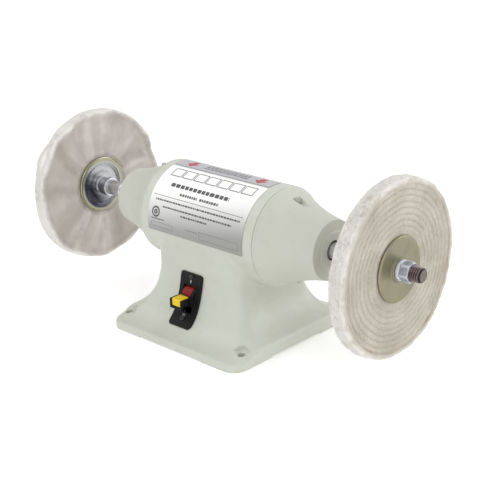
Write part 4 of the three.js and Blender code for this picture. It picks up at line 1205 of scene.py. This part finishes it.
def cord_gland():
    """A hexagon flange nut with a ribbed dome that grips the cord's way out."""
    place = {"origin": (GLAND_X, 0, GLAND_Z), "axis": (0, 1, 0)}
    bore = 4.2
    stem = turned(eased([(66, bore, 0), (66, 8.9, 0.6), (86, 8.9, 0.2), (86, bore, 0)]), 64, **place)
    nut = hex_nut(83.8, 89, 22.5, bore, **place)
    dome = turned(eased([(88, bore, 0), (88, 10.2, 0.3), (94, 10.2, 1.5), (GLAND_END, 7.6, 1.2),
                         (GLAND_END, 4.6, 0.8), (95, bore, 0.2)]), 108, ribbed, **place)
    add_piece("cord_grip", joined([stem, nut, dome]), "motor_body", "black_plastic", ["cord_gland"],
              sharp_angle=50)


# ---- Plates on the shell ----

def on_shell(u, arc, height):
    """A point on the motor shell: along the spindle, round it from the top towards the front, and out."""
    angle = arc / SHELL_RADIUS
    radius = SHELL_RADIUS + height
    return np.stack([u + 0 * angle, -radius * np.sin(angle), AXIS + radius * np.cos(angle)], axis=-1)


def arc_at(degrees):
    return math.radians(degrees) * SHELL_RADIUS


PRINT_LOW, PRINT_HIGH = 0.8, 0.9


def printed_bar(x0, x1, middle, thick):
    """A plain printed bar, placed by its angle round the shell in degrees."""
    centre = arc_at(middle)
    corner = min(thick, x1 - x0) * 0.2
    rows = 3 + int(thick / 2.5)
    return plate_on(on_shell, x0, x1, centre - thick / 2, centre + thick / 2, corner, PRINT_LOW, PRINT_HIGH,
                    4, rows)


def printed_frame(x0, x1, top, bottom, line):
    """An outlined box between two angles."""
    level = [printed_bar(x0, x1, angle, line) for angle in (top, bottom)]
    middle = (top + bottom) / 2
    tall = arc_at(bottom) - arc_at(top)
    return level + [printed_bar(x - line / 2, x + line / 2, middle, tall) for x in (x0, x1)]


def printed_row(chance, x0, x1, middle, thick, shortest, longest, gap=0.45):
    """A row of dashes that stands for a line of small print."""
    bars, x = [], x0
    while x < x1:
        end = min(x1, x + chance.uniform(shortest, longest))
        bars.append(printed_bar(x, end, middle, thick))
        x = end + thick * gap
    return bars


def printed_ring(x, middle, outer, inner):
    return ring_on(on_shell, x, arc_at(middle), outer, inner, PRINT_LOW, PRINT_HIGH, 48)


def printed_arrow(x, middle, length, width):
    """A broad flat arrow across the strip that points to the front."""
    along = np.array([-0.5, -0.25, 0, 0.02, 0.18, 0.34, 0.5])[:, None]
    half = np.interp(along, (-0.5, 0, 0.02, 0.5), (0.22, 0.22, 0.5, 0.03))
    u = x + width * half * np.linspace(-1, 1, 7)[None, :]
    v = arc_at(middle) + length * along + 0 * u
    top, bottom = (on_shell(u, v, height) for height in (PRINT_HIGH, PRINT_LOW))
    return skin(np.concatenate([top, bottom[:, ::-1]], axis=1))


# Dashed rows on the name plate: left end, right end, degrees round the shell, height of the dashes, the
# shortest and longest dash, and the gap as a share of the height
NAME_PLATE_ROWS = (
    (-68, 52, 42, 6.2, 6.5, 9, 0.25),
    (-42, -6, 51.5, 4, 2.5, 4.5, 0.3),
    (-1, 38, 51.5, 4, 2.5, 4.5, 0.3),
    (-86, 88, 62.5, 2.6, 2, 6),
    (-68, 74, 69.5, 2.4, 2, 6),
    (-28, 26, 75, 2.4, 2, 6),
    (-90, -62, 85, 1.4, 4, 9),
)


def name_plate(chance):
    foil = plate_on(on_shell, -98, 98, arc_at(13), arc_at(100), 2.5, 0.3, 0.85, 40, 60)
    add_piece("name_plate_foil", foil, "motor_body", "label_foil", ["name_plate"], sharp_angle=50)
    edges = np.linspace(-84, 86, 8)
    band = []
    for x0, x1 in zip(edges, edges[1:]):
        band += printed_frame(x0 + 1.6, x1 - 1.6, 18, 30, 1.6)
    add_piece("name_plate_band", joined(band), "motor_body", "label_foil", finishes=[GREY_INK])
    dark = [bar for row in NAME_PLATE_ROWS for bar in printed_row(chance, *row)]
    dark.append(printed_bar(-94, 92, 57.5, 0.7))
    dark += [printed_ring(-81, 77, outer, inner) for outer, inner in ((8.4, 5.8), (3.8, 1.2))]
    add_piece("name_plate_print", joined(dark), "motor_body", "label_foil", finishes=[BLACK_INK])
    faint = printed_frame(-90, -44, 89, 94.5, 0.7) + printed_frame(12, 90, 86.5, 95, 0.7)
    faint += printed_row(chance, -16, 8, 88.5, 1.3, 5, 9)
    add_piece("name_plate_boxes", joined(faint), "motor_body", "label_foil", finishes=[GREY_INK])


def direction_strip(chance):
    strip = plate_on(on_shell, -100, 96, arc_at(-9), arc_at(10), 1.5, 0.3, 0.85, 40, 12)
    add_piece("direction_strip", strip, "motor_body", "label_grey", ["direction_plate"], sharp_angle=50)
    arrows = [printed_arrow(x, 0.5, 20, 24) for x in (-70, 70)]
    add_piece("direction_arrows", joined(arrows), "motor_body", "label_grey", finishes=[RED_INK])
    dashes = [bar for angle in (-4, 0, 4) for bar in printed_row(chance, -42, 46, angle, 3.4, 3, 8)]
    add_piece("direction_print", joined(dashes), "motor_body", "label_grey", finishes=[GREY_INK])


# ---- Studio ----

def camera():
    """A long lens from the front right, a little above the machine."""
    place = (1.1535, -1.1740, 0.7366)
    yaw, pitch, roll = (math.radians(angle) for angle in (43.7225, 20.0334, -1.5583))
    forward = Vector((-math.sin(yaw) * math.cos(pitch), math.cos(yaw) * math.cos(pitch), -math.sin(pitch)))
    level = forward.cross(Vector((0, 0, 1))).normalized()
    upright = level.cross(forward)
    right = math.cos(roll) * level + math.sin(roll) * upright
    up = -math.sin(roll) * level + math.cos(roll) * upright
    turn = Matrix((right, up, -forward)).transposed().to_4x4()
    data = bpy.data.cameras.new("camera")
    data.lens, data.sensor_width = 85.39, 36
    data.shift_x, data.shift_y = -0.00316, -0.00736
    data.clip_end = 100
    made = bpy.data.objects.new("camera", data)
    made.matrix_world = Matrix.Translation(place) @ turn
    bpy.context.scene.collection.objects.link(made)
    bpy.context.scene.camera = made


def area_light(name, place, target, size, power):
    data = bpy.data.lights.new(name, "AREA")
    data.shape, data.size, data.energy = "DISK", size, power
    made = bpy.data.objects.new(name, data)
    made.location = place
    made.rotation_euler = (Vector(target) - Vector(place)).to_track_quat("-Z", "Y").to_euler()
    bpy.context.scene.collection.objects.link(made)


def studio():
    """Soft light all round, stronger from above, and three round soft boxes."""
    bpy.context.scene.view_settings.view_transform = "Standard"
    world = bpy.data.worlds.new("studio")
    bpy.context.scene.world = world
    world.use_nodes = True
    world.node_tree.nodes.clear()
    sky = NodeTree(world.node_tree)
    direction = sky.node("TexCoord").outputs["Generated"]
    height = sky.node("SeparateXYZ", {0: direction}).outputs[2]
    ramp = sky.node("ValToRGB", {0: sky.span(height, -0.2, 1.0)})
    stops = ramp.color_ramp.elements
    stops[0].color, stops[1].color = (0.6, 0.6, 0.61, 1), (1, 1, 1, 1)
    seen = sky.node("LightPath").outputs["Is Camera Ray"]
    background = sky.node("Background", {0: sky.mixed(seen, ramp.outputs[0], (255, 255, 255)), 1: 1.0})
    sky.node("OutputWorld", {0: background.outputs[0]})
    area_light("key_light", (-1.7, -1.1, 2.3), (0, 0, 0.15), 1.8, 12)
    area_light("wheel_light", (2.4, -0.9, 1.3), (0.1, 0, 0.15), 1.2, 9)
    area_light("back_light", (1.1, 1.5, 0.9), (0.2, 0, 0.17), 0.9, 8)


def studio_floor():
    ground = Finish("studio_floor", Roughness=0.9, Specular_IOR_Level=0.1, Emission_Color=(1, 1, 1, 1),
                    Emission_Strength=0.22)
    shade = ground.mixed(ground.noise(3, 2), (250, 250, 250), (252, 252, 252))
    mesh = bpy.data.meshes.new("floor")
    reach = 12
    corners = [(-reach, -reach, 0), (reach, -reach, 0), (reach, reach, 0), (-reach, reach, 0)]
    mesh.from_pydata(corners, [], [(0, 1, 2, 3)])
    mesh.materials.append(ground.done(Base_Color=shade))
    floor = bpy.data.objects.new("floor", mesh)
    bpy.context.scene.collection.objects.link(floor)


camera()
studio()
studio_floor()
finish_cad_nodes()
motor_housing()
for each_side in (1, -1):
    end_bell(each_side)
    spindle_dress(each_side)
through_bolts()
spindle()
buffing_wheel(1, sewn=True)
buffing_wheel(-1, sewn=False)
switch_plate()
plate_screw("lower", LOWER_SCREW_Z)
plate_screw("upper", UPPER_SCREW_Z)
rocker()
safety_key()
cord_gland()
label_chance = np.random.default_rng(5)
name_plate(label_chance)
direction_strip(label_chance)
